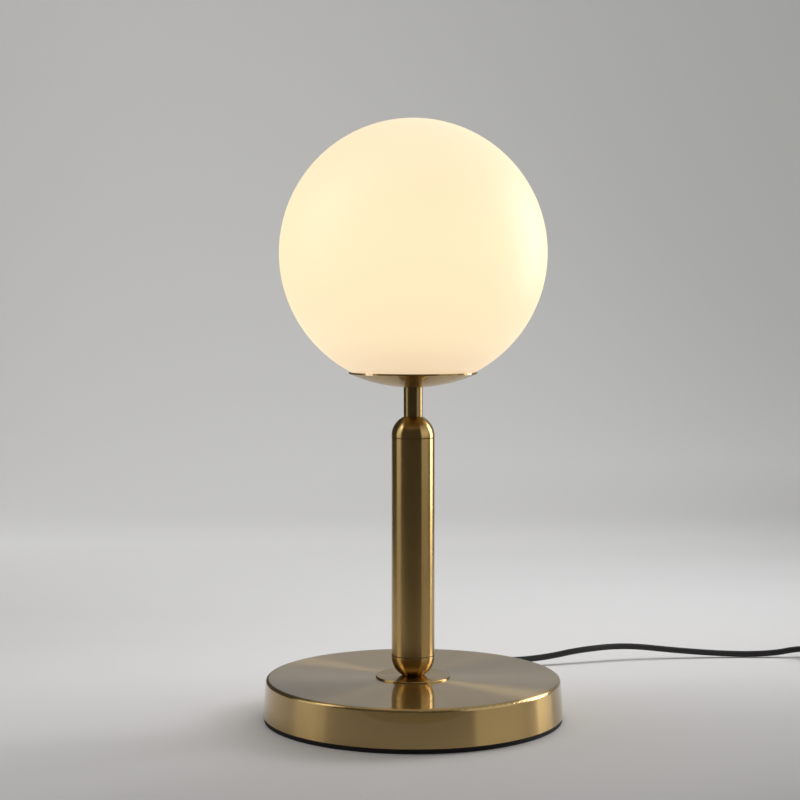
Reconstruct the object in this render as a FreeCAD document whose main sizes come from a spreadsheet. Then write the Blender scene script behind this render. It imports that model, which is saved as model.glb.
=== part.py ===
# Table lamp: an opal glass globe on a shallow brass dish, a capped post and a heavy round base.
# Millimetres. The origin is the centre of the base's underside and +Z is up.
# +X is to the right and +Y is away from the one who faces the lamp.
import FreeCAD, Part
import math
import os
import Sketcher
from FreeCAD import Placement, Rotation, Vector

# Driving dimensions. Every length is in millimetres and every angle in degrees.
sizes = {
    # base
    "footPadThickness": 3.5,
    "footPadInset": 0.7,
    "baseRadius": 113.0,
    "skirtFlare": 1.8,
    "baseHeight": 31.0,
    "baseEdgeRadius": 2.5,
    "coverWall": 1.0,
    "weightThickness": 9.0,
    "weightGap": 0.8,
    "bossRadius": 24.0,
    "bossFloor": 6.5,
    "nutRecessRadius": 15.0,
    "leadSlotWidth": 8.0,
    "clampLength": 26.0,
    "clampWidth": 9.0,
    "clampThickness": 3.0,
    "clampPlace": 62.0,
    "clampScrewSpacing": 18.0,
    "clampScrewRadius": 1.5,
    "clampScrewHeadRadius": 2.9,
    "clampScrewHeadHeight": 1.8,
    "clampScrewGrip": 5.0,
    "fitClearance": 0.1,
    # hollow rod, nuts and washer
    "rodRadius": 5.0,
    "rodBoreRadius": 4.0,
    "rodEndBelowNut": 1.0,
    "nutAcrossFlats": 17.0,
    "nutThickness": 4.0,
    "washerRadius": 10.5,
    "washerThickness": 1.0,
    # stem
    "flangeRadius": 28.0,
    "flangeThickness": 1.2,
    "postRadius": 16.2,
    "postWall": 1.2,
    "postLength": 164.1,
    "capLand": 1.2,
    "capDomeRise": 14.3,
    "capSpigotLength": 8.0,
    "seamBevel": 0.3,
    "neckRadius": 7.1,
    "neckWall": 1.6,
    "neckLength": 22.6,
    # dish that carries the globe
    "dishRadius": 48.1,
    "dishFlatRadius": 10.0,
    "dishDepth": 9.8,
    "dishSheet": 1.2,
    "padWidth": 6.4,
    "padThickness": 0.7,
    "padHeight": 1.8,
    "leftPadAngle": -131.8,
    "rightPadAngle": -32.6,
    "rearPadAngle": 97.8,
    # globe
    "globeRadius": 100.0,
    "globeWall": 2.6,
    "globeOpeningRadius": 42.0,
    "seatGap": 0.3,
    # spring that grips the globe's opening
    "springSheet": 0.8,
    "springWidth": 7.0,
    "springHubRadius": 9.0,
    # lampholder
    "holderRadius": 20.0,
    "holderWall": 1.8,
    "holderHeight": 52.0,
    "holderSplitHeight": 14.0,
    "holderSpigotHeight": 4.0,
    "holderNeckRadius": 9.0,
    "holderRodDepth": 9.0,
    "insertThickness": 8.0,
    "linerWall": 0.6,
    "linerHeight": 19.0,
    "contactWidth": 5.0,
    "contactRise": 4.0,
    "contactSheet": 0.6,
    # bulb
    "bulbCapRadius": 13.2,
    "bulbCapHeight": 24.0,
    "bulbRadius": 30.0,
    "bulbLength": 108.0,
    "bulbHousingHeight": 42.0,
    "bulbTipHeight": 3.5,
    "bulbTipRadius": 4.5,
    # lead
    "leadRadius": 2.6,
    "leadHeight": 9.5,
    "leadBendRadius": 9.0,
    "sleeveLength": 20.0,
    "sleeveRadius": 5.2,
    "sleeveTipRadius": 3.7,
    "sleeveCollar": 1.5,
    # switch on the lead
    "switchLength": 62.0,
    "switchWidth": 26.0,
    "switchSplitHeight": 8.0,
    "switchHeight": 19.0,
    "switchWall": 1.8,
    "switchEdge": 3.0,
    "switchLeadDepth": 6.0,
    "rockerLength": 21.0,
    "rockerWidth": 11.0,
    "rockerGap": 0.5,
    "rockerRise": 3.2,
    "rockerTilt": 8.0,
    "rockerPinRadius": 1.2,
    "rockerPinLength": 2.0,
    "runningClearance": 0.06,
    # plug
    "plugWidth": 34.0,
    "plugNeckWidth": 14.0,
    "plugThickness": 13.6,
    "plugLength": 32.0,
    "plugBootLength": 16.0,
    "pinRadius": 2.0,
    "pinLength": 19.0,
    "pinRootRadius": 1.5,
    "pinSpacing": 19.0,
    "pinRootDepth": 8.0,
    # where the switch and the coil lie on the floor
    "switchPlaceX": 354.0,
    "switchPlaceY": 229.0,
    "coilPlaceX": 409.0,
    "coilPlaceY": 163.0,
    "plugReach": 34.0,
    # coil
    "coilOuterRadius": 40.0,
    "coilGap": 0.6,
    "coilLayerGap": 0.5,
    "leadRest": 0.05,
    "tieWidth": 8.0,
    "tieThickness": 0.6,
    # every cut runs this far past the surface that it leaves through
    "overrun": 2.0,
}

doc = FreeCAD.newDocument("GlassTableLamp")
sheet = doc.addObject("Spreadsheet::Sheet", "Sizes")
for row, (alias, number) in enumerate(sizes.items(), start=1):
    sheet.set(f"A{row}", alias)
    sheet.set(f"B{row}", str(number))
    sheet.setAlias(f"B{row}", alias)
doc.recompute()


class Length:
    # A number together with the formula that gives it from the sheet
    def __init__(self, value, formula):
        self.value = value
        self.formula = formula

    def __add__(self, other):
        return Length(self.value + other.value, f"({self.formula} + {other.formula})")

    def __sub__(self, other):
        return Length(self.value - other.value, f"({self.formula} - {other.formula})")

    def __mul__(self, other):
        factor = asLength(other)
        return Length(self.value * factor.value, f"({self.formula} * {factor.formula})")

    def __truediv__(self, other):
        factor = asLength(other)
        return Length(self.value / factor.value, f"({self.formula} / {factor.formula})")

    def __neg__(self):
        return Length(-self.value, f"(0 - {self.formula})")


def asLength(number):
    if isinstance(number, Length):
        return number
    return Length(float(number), repr(float(number)))


def size(alias):
    return Length(float(sizes[alias]), f"Sizes.{alias}")


def root(square):
    return Length(math.sqrt(square.value), f"sqrt({square.formula})")


def otherSide(longSide, side):
    # the third side of a right-angled triangle
    return root(longSide * longSide - side * side)


zero = Length(0.0, "0")


# Sketches, whose every place and radius is bound to the sheet

def planeOf(body, role):
    return next(part for part in body.Origin.OriginFeatures if part.Role == role)


def newBody(label):
    body = doc.addObject("PartDesign::Body", label)
    body.Label = label
    return body


def newSketch(body, name, role, lift=zero):
    sketch = body.newObject("Sketcher::SketchObject", name)
    sketch.AttachmentSupport = [(planeOf(body, role), "")]
    sketch.MapMode = "FlatFace"
    sketch.setExpression("AttachmentOffset.Base.z", lift.formula)
    return sketch


def bind(sketch, constraint, length):
    index = sketch.addConstraint(constraint)
    sketch.setExpression(f"Constraints[{index}]", length.formula)


def pinPoint(sketch, edge, end, x, y):
    if x is zero:
        sketch.addConstraint(Sketcher.Constraint("PointOnObject", edge, end, -2))
    else:
        bind(sketch, Sketcher.Constraint("DistanceX", -1, 1, edge, end, x.value), x)
    if y is zero:
        sketch.addConstraint(Sketcher.Constraint("PointOnObject", edge, end, -1))
    else:
        bind(sketch, Sketcher.Constraint("DistanceY", -1, 1, edge, end, y.value), y)


def arcCentre(first, last, radius):
    # centre of the arc from first to last that turns left, or right where the radius is negative
    chord = last - first
    middle = (first + last) / 2
    left = Vector(-chord.y, chord.x, 0).normalize()
    rise = math.sqrt(max(radius * radius - chord.Length * chord.Length / 4, 0.0))
    return middle + left * math.copysign(rise, radius)


def drawOutline(sketch, corners):
    # corners are (x, y), or (x, y, radius) where the edge that starts there is an arc
    points = [Vector(corner[0].value, corner[1].value, 0) for corner in corners]
    edges = []
    for index, corner in enumerate(corners):
        first = points[index]
        last = points[(index + 1) % len(points)]
        if len(corner) == 2:
            edges.append((sketch.addGeometry(Part.LineSegment(first, last)), 1, 2))
            continue
        radius = corner[2]
        centre = arcCentre(first, last, radius.value)
        circle = Part.Circle(centre, Vector(0, 0, 1), abs(radius.value))
        ends = [math.atan2(point.y - centre.y, point.x - centre.x) for point in (first, last)]
        if radius.value > 0:
            edge = sketch.addGeometry(Part.ArcOfCircle(circle, ends[0], ends[1]))
            edges.append((edge, 1, 2))
            bind(sketch, Sketcher.Constraint("Radius", edge, radius.value), radius)
        else:
            edge = sketch.addGeometry(Part.ArcOfCircle(circle, ends[1], ends[0]))
            edges.append((edge, 2, 1))
            bind(sketch, Sketcher.Constraint("Radius", edge, -radius.value), -radius)
    for index, (edge, start, end) in enumerate(edges):
        following, followingStart, followingEnd = edges[(index + 1) % len(edges)]
        sketch.addConstraint(Sketcher.Constraint("Coincident", edge, end, following, followingStart))
        pinPoint(sketch, edge, start, corners[index][0], corners[index][1])


def drawCircle(sketch, x, y, radius):
    circle = Part.Circle(Vector(x.value, y.value, 0), Vector(0, 0, 1), radius.value)
    edge = sketch.addGeometry(circle)
    pinPoint(sketch, edge, 3, x, y)
    bind(sketch, Sketcher.Constraint("Radius", edge, radius.value), radius)


# Features

def recomputed(feature):
    doc.recompute()
    return feature


def turn(body, name, outline):
    # a revolution about the body's Z axis of an outline drawn in (radius, height)
    sketch = newSketch(body, name + "_profile", "XZ_Plane")
    drawOutline(sketch, outline)
    feature = body.newObject("PartDesign::Revolution", name)
    feature.Profile = sketch
    feature.ReferenceAxis = (sketch, ["V_Axis"])
    feature.Angle = 360
    return recomputed(feature)


def pad(body, name, role, draw, length, lift=zero, middle=False):
    sketch = newSketch(body, name + "_sketch", role, lift)
    draw(sketch)
    feature = body.newObject("PartDesign::Pad", name)
    feature.Profile = sketch
    feature.setExpression("Length", length.formula)
    if middle:
        feature.SideType = "Symmetric"
    return recomputed(feature)


def cut(body, name, role, draw, length, lift=zero, reverse=False, middle=False):
    before = body.Shape.Volume
    sketch = newSketch(body, name + "_sketch", role, lift)
    draw(sketch)
    feature = body.newObject("PartDesign::Pocket", name)
    feature.Profile = sketch
    feature.setExpression("Length", length.formula)
    feature.Reversed = reverse
    if middle:
        feature.SideType = "Symmetric"
    doc.recompute()
    if not body.Shape.Volume < before:
        raise RuntimeError(f"{name} cuts nothing")
    return feature


def turnedBody(label, outline, lift=zero):
    body = newBody(label)
    turn(body, label + "_turning", outline)
    body.setExpression("Placement.Base.z", lift.formula)
    return body


def roundEdges(body, name, wanted, radius):
    # a fillet on the edges of the body's last feature for which wanted(edge) holds
    base = body.Tip
    names = [f"Edge{index}" for index, edge in enumerate(base.Shape.Edges, start=1) if wanted(edge)]
    feature = body.newObject("PartDesign::Fillet", name)
    feature.Base = (base, names)
    feature.setExpression("Radius", radius.formula)
    return recomputed(feature)


def polarCopies(body, name, feature, count):
    pattern = body.newObject("PartDesign::PolarPattern", name)
    pattern.Originals = [feature]
    pattern.Axis = (planeOf(body, "Z_Axis"), [""])
    pattern.Angle = 360
    pattern.Occurrences = count
    body.Tip = pattern
    return recomputed(pattern)


def mirrorCopy(body, name, features, role):
    mirror = body.newObject("PartDesign::Mirrored", name)
    mirror.Originals = features
    mirror.MirrorPlane = (planeOf(body, role), [""])
    body.Tip = mirror
    return recomputed(mirror)


def hexagon(acrossFlats):
    # corners of a hexagon that has two flats square to Y
    corner = acrossFlats / math.sqrt(3)
    flat = acrossFlats / 2
    return [
        (corner, zero),
        (corner / 2, flat),
        (-corner / 2, flat),
        (-corner, zero),
        (-corner / 2, -flat),
        (corner / 2, -flat),
    ]


# Levels of the stack, from the floor up

rodHole = size("rodRadius") + size("fitClearance")
bossCeiling = size("baseHeight") - size("coverWall") - size("bossFloor")
washerBottom = bossCeiling - size("washerThickness")
nutBottom = washerBottom - size("nutThickness")
rodBottom = nutBottom - size("rodEndBelowNut")
flangeTop = size("baseHeight") + size("flangeThickness")
capHeight = size("capDomeRise") + size("capLand")
lowerSeam = flangeTop + capHeight
upperSeam = lowerSeam + size("postLength")
neckBottom = upperSeam + capHeight
dishBottom = neckBottom + size("neckLength")
dishFloor = dishBottom + size("dishSheet")
springTop = dishFloor + size("springSheet")
holderBottom = springTop + size("nutThickness")
rodTop = holderBottom + size("holderRodDepth")
insertBottom = holderBottom + size("holderSplitHeight") + size("holderSpigotHeight")
insertTop = insertBottom + size("insertThickness")

# The dish is a spherical cap round its flat middle
dishChord = size("dishRadius") * size("dishRadius") - size("dishFlatRadius") * size("dishFlatRadius")
dishCentreRise = (dishChord / size("dishDepth") + size("dishDepth")) / 2
dishSphere = root(dishCentreRise * dishCentreRise + size("dishFlatRadius") * size("dishFlatRadius"))
globeEdgeRise = dishCentreRise - otherSide(dishSphere, size("globeOpeningRadius")) + size("seatGap")
globeEdge = dishFloor + globeEdgeRise
globeDrop = otherSide(size("globeRadius"), size("globeOpeningRadius"))
globeCentre = globeEdge + globeDrop
globeInside = size("globeRadius") - size("globeWall")
globeMouth = otherSide(globeInside, globeDrop)


# Base

def footPad():
    radius = size("baseRadius") - size("footPadInset")
    thickness = size("footPadThickness")
    return turnedBody("foot_pad", [(zero, zero), (radius, zero), (radius, thickness), (zero, thickness)])


def baseCover():
    # a spun shell, open below, with a rounded edge, a slight flare and a hole for the rod
    skirtHeight = size("baseHeight") - size("footPadThickness")
    bottom = size("baseRadius")
    top = bottom - size("skirtFlare")
    edge = size("baseEdgeRadius")
    wall = size("coverWall")
    inner = edge - wall
    body = turnedBody(
        "base_cover",
        [
            (rodHole, skirtHeight - wall),
            (top - edge, skirtHeight - wall, -inner),
            (top - wall, skirtHeight - edge),
            (bottom - wall, zero),
            (bottom, zero),
            (top, skirtHeight - edge, edge),
            (top - edge, skirtHeight),
            (rodHole, skirtHeight),
        ],
        size("footPadThickness"),
    )
    holeHeight = size("leadHeight") - size("footPadThickness")
    holeRadius = size("sleeveTipRadius") + size("fitClearance")
    cut(
        body,
        "lead_hole",
        "XZ_Plane",
        lambda sketch: drawCircle(sketch, zero, holeHeight, holeRadius),
        bottom + size("overrun"),
        reverse=False,
    )
    return body


def baseWeight():
    # cast disc with a boss that carries the cover, a recess for the nut and a slot for the lead
    base = size("footPadThickness")
    rim = size("baseRadius") - size("coverWall") - size("weightGap")
    thickness = size("weightThickness")
    bossTop = size("baseHeight") - size("coverWall") - base
    recess = bossCeiling - base
    body = turnedBody(
        "base_weight",
        [
            (size("nutRecessRadius"), zero),
            (rim, zero),
            (rim - size("weightGap"), thickness),
            (size("bossRadius"), thickness),
            (size("bossRadius"), bossTop),
            (rodHole, bossTop),
            (rodHole, recess),
            (size("nutRecessRadius"), recess),
        ],
        base,
    )
    half = size("leadSlotWidth") / 2
    slotEnd = size("baseRadius") + size("overrun")
    cut(
        body,
        "lead_slot",
        "XY_Plane",
        lambda sketch: drawOutline(
            sketch, [(-half, zero), (half, zero), (half, slotEnd), (-half, slotEnd)]
        ),
        thickness,
        reverse=True,
    )
    screwHole = size("clampScrewRadius")
    hole = cut(
        body,
        "clamp_hole",
        "XY_Plane",
        lambda sketch: drawCircle(sketch, size("clampScrewSpacing") / 2, size("clampPlace"), screwHole),
        thickness,
        reverse=True,
    )
    mirrorCopy(body, "clamp_holes", [hole], "YZ_Plane")
    return body


def leadClamp():
    # a bar across the slot, with a screw hole at each end
    length = size("clampLength") / 2
    width = size("clampWidth") / 2
    body = newBody("lead_clamp")

    def plan(sketch):
        drawOutline(sketch, [(-length, -width), (length, -width), (length, width), (-length, width)])

    pad(body, "clamp_bar", "XY_Plane", plan, size("clampThickness"))
    upright = size("clampThickness").value
    roundEdges(
        body,
        "clamp_corners",
        lambda edge: abs(edge.Length - upright) < 0.01 * upright and edge.BoundBox.ZLength > upright / 2,
        size("clampWidth") / 4,
    )
    holeRadius = size("clampScrewRadius") + size("fitClearance")
    hole = cut(
        body,
        "clamp_bar_hole",
        "XY_Plane",
        lambda sketch: drawCircle(sketch, size("clampScrewSpacing") / 2, zero, holeRadius),
        size("clampThickness"),
        reverse=True,
    )
    mirrorCopy(body, "clamp_bar_holes", [hole], "YZ_Plane")
    lift = size("footPadThickness") + size("weightThickness")
    body.setExpression("Placement.Base.z", lift.formula)
    body.setExpression("Placement.Base.y", size("clampPlace").formula)
    return body


def screwOutline(shank, grip, head, headHeight):
    # a pan-head screw that points down, with its head's seat at height zero
    dome = headHeight / 2
    return [
        (zero, -grip),
        (shank, -grip),
        (shank, zero),
        (head, zero),
        (head, headHeight - dome, dome),
        (head - dome, headHeight),
        (zero, headHeight),
    ]


def screwPair(label, spacing, outline, alongX, y, lift, underside=False):
    # two equal screws, one each side of the middle
    body = newBody(label)
    half = spacing / 2
    sketch = newSketch(body, label + "_profile", "XZ_Plane")
    moved = [(half + corner[0], corner[1]) + tuple(corner[2:]) for corner in outline]
    drawOutline(sketch, moved)
    axis = sketch.addGeometry(Part.LineSegment(Vector(half.value, 0, 0), Vector(half.value, half.value, 0)), True)
    pinPoint(sketch, axis, 1, half, zero)
    pinPoint(sketch, axis, 2, half, half)
    feature = body.newObject("PartDesign::Revolution", label + "_turning")
    feature.Profile = sketch
    feature.ReferenceAxis = (sketch, ["Axis0"])
    feature.Angle = 360
    doc.recompute()
    mirrorCopy(body, label + "_pair", [feature], "YZ_Plane")
    flip = Rotation(Vector(1, 0, 0), 180) if underside else Rotation()
    body.Placement = Placement(Vector(), flip)
    body.setExpression("Placement.Base.x", alongX.formula)
    body.setExpression("Placement.Base.y", y.formula)
    body.setExpression("Placement.Base.z", lift.formula)
    return body


def clampScrews():
    outline = screwOutline(
        size("clampScrewRadius") - size("fitClearance"),
        size("clampScrewGrip") + size("clampThickness"),
        size("clampScrewHeadRadius"),
        size("clampScrewHeadHeight"),
    )
    lift = size("footPadThickness") + size("weightThickness") + size("clampThickness")
    return screwPair("clamp_screws", size("clampScrewSpacing"), outline, zero, size("clampPlace"), lift)


def rodWasher():
    radius = size("washerRadius")
    thickness = size("washerThickness")
    outline = [(rodHole, zero), (radius, zero), (radius, thickness), (rodHole, thickness)]
    return turnedBody("rod_washer", outline, washerBottom)


def hexNut(label, lift):
    # a hexagon nut with turned-down corners
    body = newBody(label)

    def plan(sketch):
        drawOutline(sketch, hexagon(size("nutAcrossFlats")))
        drawCircle(sketch, zero, zero, rodHole)

    pad(body, label + "_block", "XY_Plane", plan, size("nutThickness"))
    body.setExpression("Placement.Base.z", lift.formula)
    return body


# Stem

def baseFlange():
    radius = size("flangeRadius")
    thickness = size("flangeThickness")
    edge = thickness / 3
    return turnedBody(
        "base_flange",
        [
            (rodHole, zero),
            (radius, zero),
            (radius, thickness - edge, edge),
            (radius - edge, thickness),
            (rodHole, thickness),
        ],
        size("baseHeight"),
    )


def capOutline():
    # flat foot at height zero, dome, land with its edge broken at the seam, then the spigot
    radius = size("postRadius")
    rise = size("capDomeRise")
    foot = otherSide(radius, rise)
    spigot = radius - size("postWall") - size("fitClearance")
    bevel = size("postWall") / 2
    seam = size("seamBevel")
    top = capHeight + size("capSpigotLength")
    return [
        (rodHole, zero),
        (foot, zero, radius),
        (radius, rise),
        (radius, capHeight - seam),
        (radius - seam, capHeight),
        (spigot, capHeight),
        (spigot, top - bevel),
        (spigot - bevel, top),
        (rodHole, top),
    ]


def lowerCap():
    return turnedBody("lower_cap", capOutline(), flangeTop)


def upperCap():
    body = turnedBody("upper_cap", capOutline())
    body.Placement = Placement(Vector(), Rotation(Vector(1, 0, 0), 180))
    body.setExpression("Placement.Base.z", neckBottom.formula)
    return body


def tubeOutline(radius, wall, length):
    seam = size("seamBevel")
    return [
        (radius - wall, zero),
        (radius - seam, zero),
        (radius, seam),
        (radius, length - seam),
        (radius - seam, length),
        (radius - wall, length),
    ]


def postTube():
    outline = tubeOutline(size("postRadius"), size("postWall"), size("postLength"))
    return turnedBody("post_tube", outline, lowerSeam)


def neckTube():
    outline = tubeOutline(size("neckRadius"), size("neckWall"), size("neckLength"))
    return turnedBody("neck_tube", outline, neckBottom)


def threadedRod():
    radius = size("rodRadius")
    bore = size("rodBoreRadius")
    bevel = (radius - bore) / 2
    length = rodTop - rodBottom
    return turnedBody(
        "threaded_rod",
        [
            (bore, zero),
            (radius - bevel, zero),
            (radius, bevel),
            (radius, length - bevel),
            (radius - bevel, length),
            (bore, length),
        ],
        rodBottom,
    )


# Head

def glassHolder():
    # shallow spun dish: a flat middle, then a spherical wall up to the cut rim
    flat = size("dishFlatRadius")
    rim = size("dishRadius")
    depth = size("dishDepth")
    sheetMetal = size("dishSheet")
    return turnedBody(
        "glass_holder",
        [
            (rodHole, zero),
            (flat, zero, dishSphere),
            (rim, depth),
            (rim, depth + sheetMetal, -dishSphere),
            (flat, sheetMetal),
            (rodHole, sheetMetal),
        ],
        dishBottom,
    )


def rimPads():
    # three small pads that hook over the cut rim, each a short piece of a turned ring
    rim = sizes["dishRadius"]
    thickness = sizes["padThickness"]
    height = sizes["padHeight"]
    hook = thickness / 2
    rimTop = (dishBottom + size("dishDepth") + size("dishSheet")).value
    bottom = rimTop + hook - height
    profile = [
        (rim, bottom),
        (rim + thickness, bottom + hook),
        (rim + thickness, rimTop),
        (rim + hook, rimTop + hook),
        (rim - hook, rimTop + hook),
        (rim - hook, rimTop),
        (rim, rimTop),
    ]
    corners = [Vector(radius, 0, height) for radius, height in profile]
    face = Part.Face(Part.makePolygon(corners + corners[:1]))
    spread = math.degrees(sizes["padWidth"] / rim)
    upright = Vector(0, 0, 1)
    pads = []
    for angle in (sizes["leftPadAngle"], sizes["rightPadAngle"], sizes["rearPadAngle"]):
        start = face.copy()
        start.rotate(Vector(), upright, angle - spread / 2)
        pads.append(start.revolve(Vector(), upright, spread))
    feature = doc.addObject("Part::Feature", "rim_pads")
    feature.Label = "rim_pads"
    feature.Shape = Part.makeCompound(pads)
    return feature


def globeSpring():
    # a ring under the lampholder with three arms that reach up just inside the globe's opening
    sheetMetal = size("springSheet")
    hub = size("springHubRadius")
    reach = otherSide(globeMouth - size("seatGap"), size("springWidth") / 2)
    kneeShare = 0.86
    kneeHeightShare = 0.6
    tipShare = 1.9
    tipReachShare = 0.94
    body = newBody("globe_spring")

    def ring(sketch):
        drawCircle(sketch, zero, zero, hub)
        drawCircle(sketch, zero, zero, rodHole)

    pad(body, "spring_hub", "XY_Plane", ring, sheetMetal)
    knee = reach * kneeShare
    kneeHeight = globeEdgeRise * kneeHeightShare
    tip = globeEdgeRise * tipShare
    tipReach = reach * tipReachShare
    arm = [
        (hub - sheetMetal * 2, zero),
        (hub, zero),
        (knee, kneeHeight),
        (reach, globeEdgeRise),
        (tipReach, tip),
        (tipReach - sheetMetal, tip),
        (reach - sheetMetal, globeEdgeRise + sheetMetal / 2),
        (knee - sheetMetal / 2, kneeHeight + sheetMetal),
        (hub, sheetMetal),
        (hub - sheetMetal * 2, sheetMetal),
    ]
    strip = pad(
        body,
        "spring_arm",
        "XZ_Plane",
        lambda sketch: drawOutline(sketch, arm),
        size("springWidth"),
        middle=True,
    )
    polarCopies(body, "spring_arms", strip, 3)
    body.Placement = Placement(Vector(), Rotation(Vector(0, 0, 1), 90))
    body.setExpression("Placement.Base.z", dishFloor.formula)
    return body


def glassGlobe():
    # a blown ball, drawn about its own centre, cut flat at its opening
    outer = size("globeRadius")
    opening = size("globeOpeningRadius")
    return turnedBody(
        "glass_globe",
        [
            (globeMouth, -globeDrop),
            (opening, -globeDrop, outer),
            (zero, outer),
            (zero, globeInside, -globeInside),
        ],
        globeCentre,
    )


def holderCap():
    # lower half of the lampholder: threaded neck, shoulder, then the spigot for the shell
    radius = size("holderRadius")
    wall = size("holderWall")
    neck = size("holderNeckRadius")
    neckRiseShare = 0.2
    shoulderShare = 1.05
    neckRise = size("holderSplitHeight") * neckRiseShare
    shoulder = radius - neck
    split = size("holderSplitHeight")
    spigot = radius - wall - size("fitClearance")
    top = split + size("holderSpigotHeight")
    bossTop = size("holderRodDepth")
    bossRadius = neck - wall
    floorHeight = neckRise + wall * 2
    return turnedBody(
        "holder_cap",
        [
            (rodHole, zero),
            (neck, zero),
            (neck, neckRise, shoulder * shoulderShare),
            (radius, split),
            (spigot, split),
            (spigot, top),
            (spigot - wall, top),
            (spigot - wall, split - wall, -shoulder),
            (bossRadius + wall, floorHeight),
            (bossRadius, floorHeight),
            (bossRadius, bossTop),
            (rodHole, bossTop),
        ],
        holderBottom,
    )


def holderInsert():
    # insulating block with a raised seat for the centre contact and two terminal pockets below
    radius = size("holderRadius") - size("holderWall") - size("fitClearance")
    thickness = size("insertThickness")
    pocketRadius = radius / 5
    pocketPlace = radius / 2
    pocketDepth = thickness / 2
    body = turnedBody(
        "holder_insert",
        [(zero, zero), (radius, zero), (radius, thickness), (zero, thickness)],
        insertBottom,
    )
    pocket = cut(
        body,
        "terminal_pocket",
        "XY_Plane",
        lambda sketch: drawCircle(sketch, pocketPlace, zero, pocketRadius),
        pocketDepth,
        reverse=True,
    )
    mirrorCopy(body, "terminal_pockets", [pocket], "YZ_Plane")
    return body


def holderContact():
    # a strip bent up into a tongue under the bulb's tip
    sheetMetal = size("contactSheet")
    rise = size("contactRise")
    half = size("bulbTipRadius")
    foot = half * 2
    tongue = [
        (-foot, zero),
        (-half, zero),
        (half, rise - sheetMetal),
        (half + sheetMetal, rise - sheetMetal),
        (half + sheetMetal, rise),
        (half - sheetMetal / 2, rise),
        (-half - sheetMetal / 2, sheetMetal),
        (-foot, sheetMetal),
    ]
    body = newBody("holder_contact")
    pad(
        body,
        "contact_strip",
        "XZ_Plane",
        lambda sketch: drawOutline(sketch, tongue),
        size("contactWidth"),
        middle=True,
    )
    body.setExpression("Placement.Base.z", insertTop.formula)
    return body


def holderLiner():
    # the metal shell that the bulb's cap screws into, with its foot on the insert
    wall = size("linerWall")
    inner = size("bulbCapRadius") + size("seatGap") * 1.5
    foot = inner + wall * 4
    height = size("linerHeight")
    return turnedBody(
        "holder_liner",
        [
            (inner, zero),
            (foot, zero),
            (foot, wall),
            (inner + wall, wall),
            (inner + wall, height),
            (inner, height),
        ],
        insertTop,
    )


def holderShell():
    # upper half of the lampholder, turned in at the mouth
    radius = size("holderRadius")
    wall = size("holderWall")
    mouth = size("bulbCapRadius") + size("seatGap") * 4
    height = size("holderHeight") - size("holderSplitHeight")
    edge = wall / 2
    return turnedBody(
        "holder_shell",
        [
            (radius - wall, zero),
            (radius, zero),
            (radius, height - edge, edge),
            (radius - edge, height),
            (mouth, height),
            (mouth, height - wall),
            (radius - wall, height - wall),
        ],
        holderBottom + size("holderSplitHeight"),
    )


# Bulb, drawn from its own tip

bulbBottom = insertTop + size("contactRise") + size("seatGap")


def bulbContact():
    tip = size("bulbTipRadius")
    height = size("bulbTipHeight")
    ring = tip * 2
    crown = height / 4
    return turnedBody(
        "bulb_contact",
        [(zero, zero), (tip - crown, zero, crown), (tip, crown), (ring, height), (zero, height)],
        bulbBottom,
    )


def bulbCap():
    radius = size("bulbCapRadius")
    low = size("bulbTipRadius") * 2
    shoulder = (radius - low) / 2
    height = size("bulbCapHeight")
    return turnedBody(
        "bulb_cap",
        [
            (zero, zero),
            (low, zero),
            (radius, shoulder),
            (radius, height),
            (zero, height),
        ],
        bulbBottom + size("bulbTipHeight"),
    )


def bulbHousing():
    # the opaque lower half, which widens in a long curve from the cap to the diffuser
    foot = size("bulbCapRadius")
    radius = size("bulbRadius")
    height = size("bulbHousingHeight")
    shareOut = 0.72
    shareUp = 0.55
    land = height / 14
    middleRadius = foot + (radius - foot) * shareOut
    middleHeight = land + (height - land) * shareUp
    return turnedBody(
        "bulb_housing",
        [
            (zero, zero),
            (foot, zero),
            (foot, land, radius * 3),
            (middleRadius, middleHeight, radius * 2),
            (radius, height),
            (zero, height),
        ],
        bulbBottom + size("bulbTipHeight") + size("bulbCapHeight"),
    )


def bulbDiffuser():
    # the frosted dome: an equator band, then a hemisphere
    radius = size("bulbRadius")
    bottom = size("bulbTipHeight") + size("bulbCapHeight") + size("bulbHousingHeight")
    height = size("bulbLength") - bottom
    band = height - radius
    return turnedBody(
        "bulb_diffuser",
        [(zero, zero), (radius, zero), (radius, band, radius), (zero, height)],
        bulbBottom + bottom,
    )


# Lead: a round two-core lead. Its free stretches follow routes of points chosen by hand.

leadSection = math.pi * sizes["leadRadius"] ** 2


def roundedWire(label, points):
    # straight runs joined by arcs as large as the shorter run beside each point allows
    shares = 0.45
    start = points[0]
    edges = []
    radii = []
    for index in range(1, len(points) - 1):
        here = points[index]
        before = points[index - 1] - here
        after = points[index + 1] - here
        turnAngle = math.pi - before.getAngle(after)
        reach = shares * min(before.Length, after.Length)
        radius = reach / math.tan(turnAngle / 2)
        radii.append(radius)
        first = here + before.normalize() * reach
        last = here + after.normalize() * reach
        inward = (before + after).normalize()
        depth = radius / math.cos(turnAngle / 2) - radius
        edges.append(Part.LineSegment(start, first).toShape())
        edges.append(Part.Arc(first, here + inward * depth, last).toShape())
        start = last
    edges.append(Part.LineSegment(start, points[-1]).toShape())
    if radii:
        print(label, "bend radii", [round(radius, 1) for radius in radii])
    return Part.Wire(edges)


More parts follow.
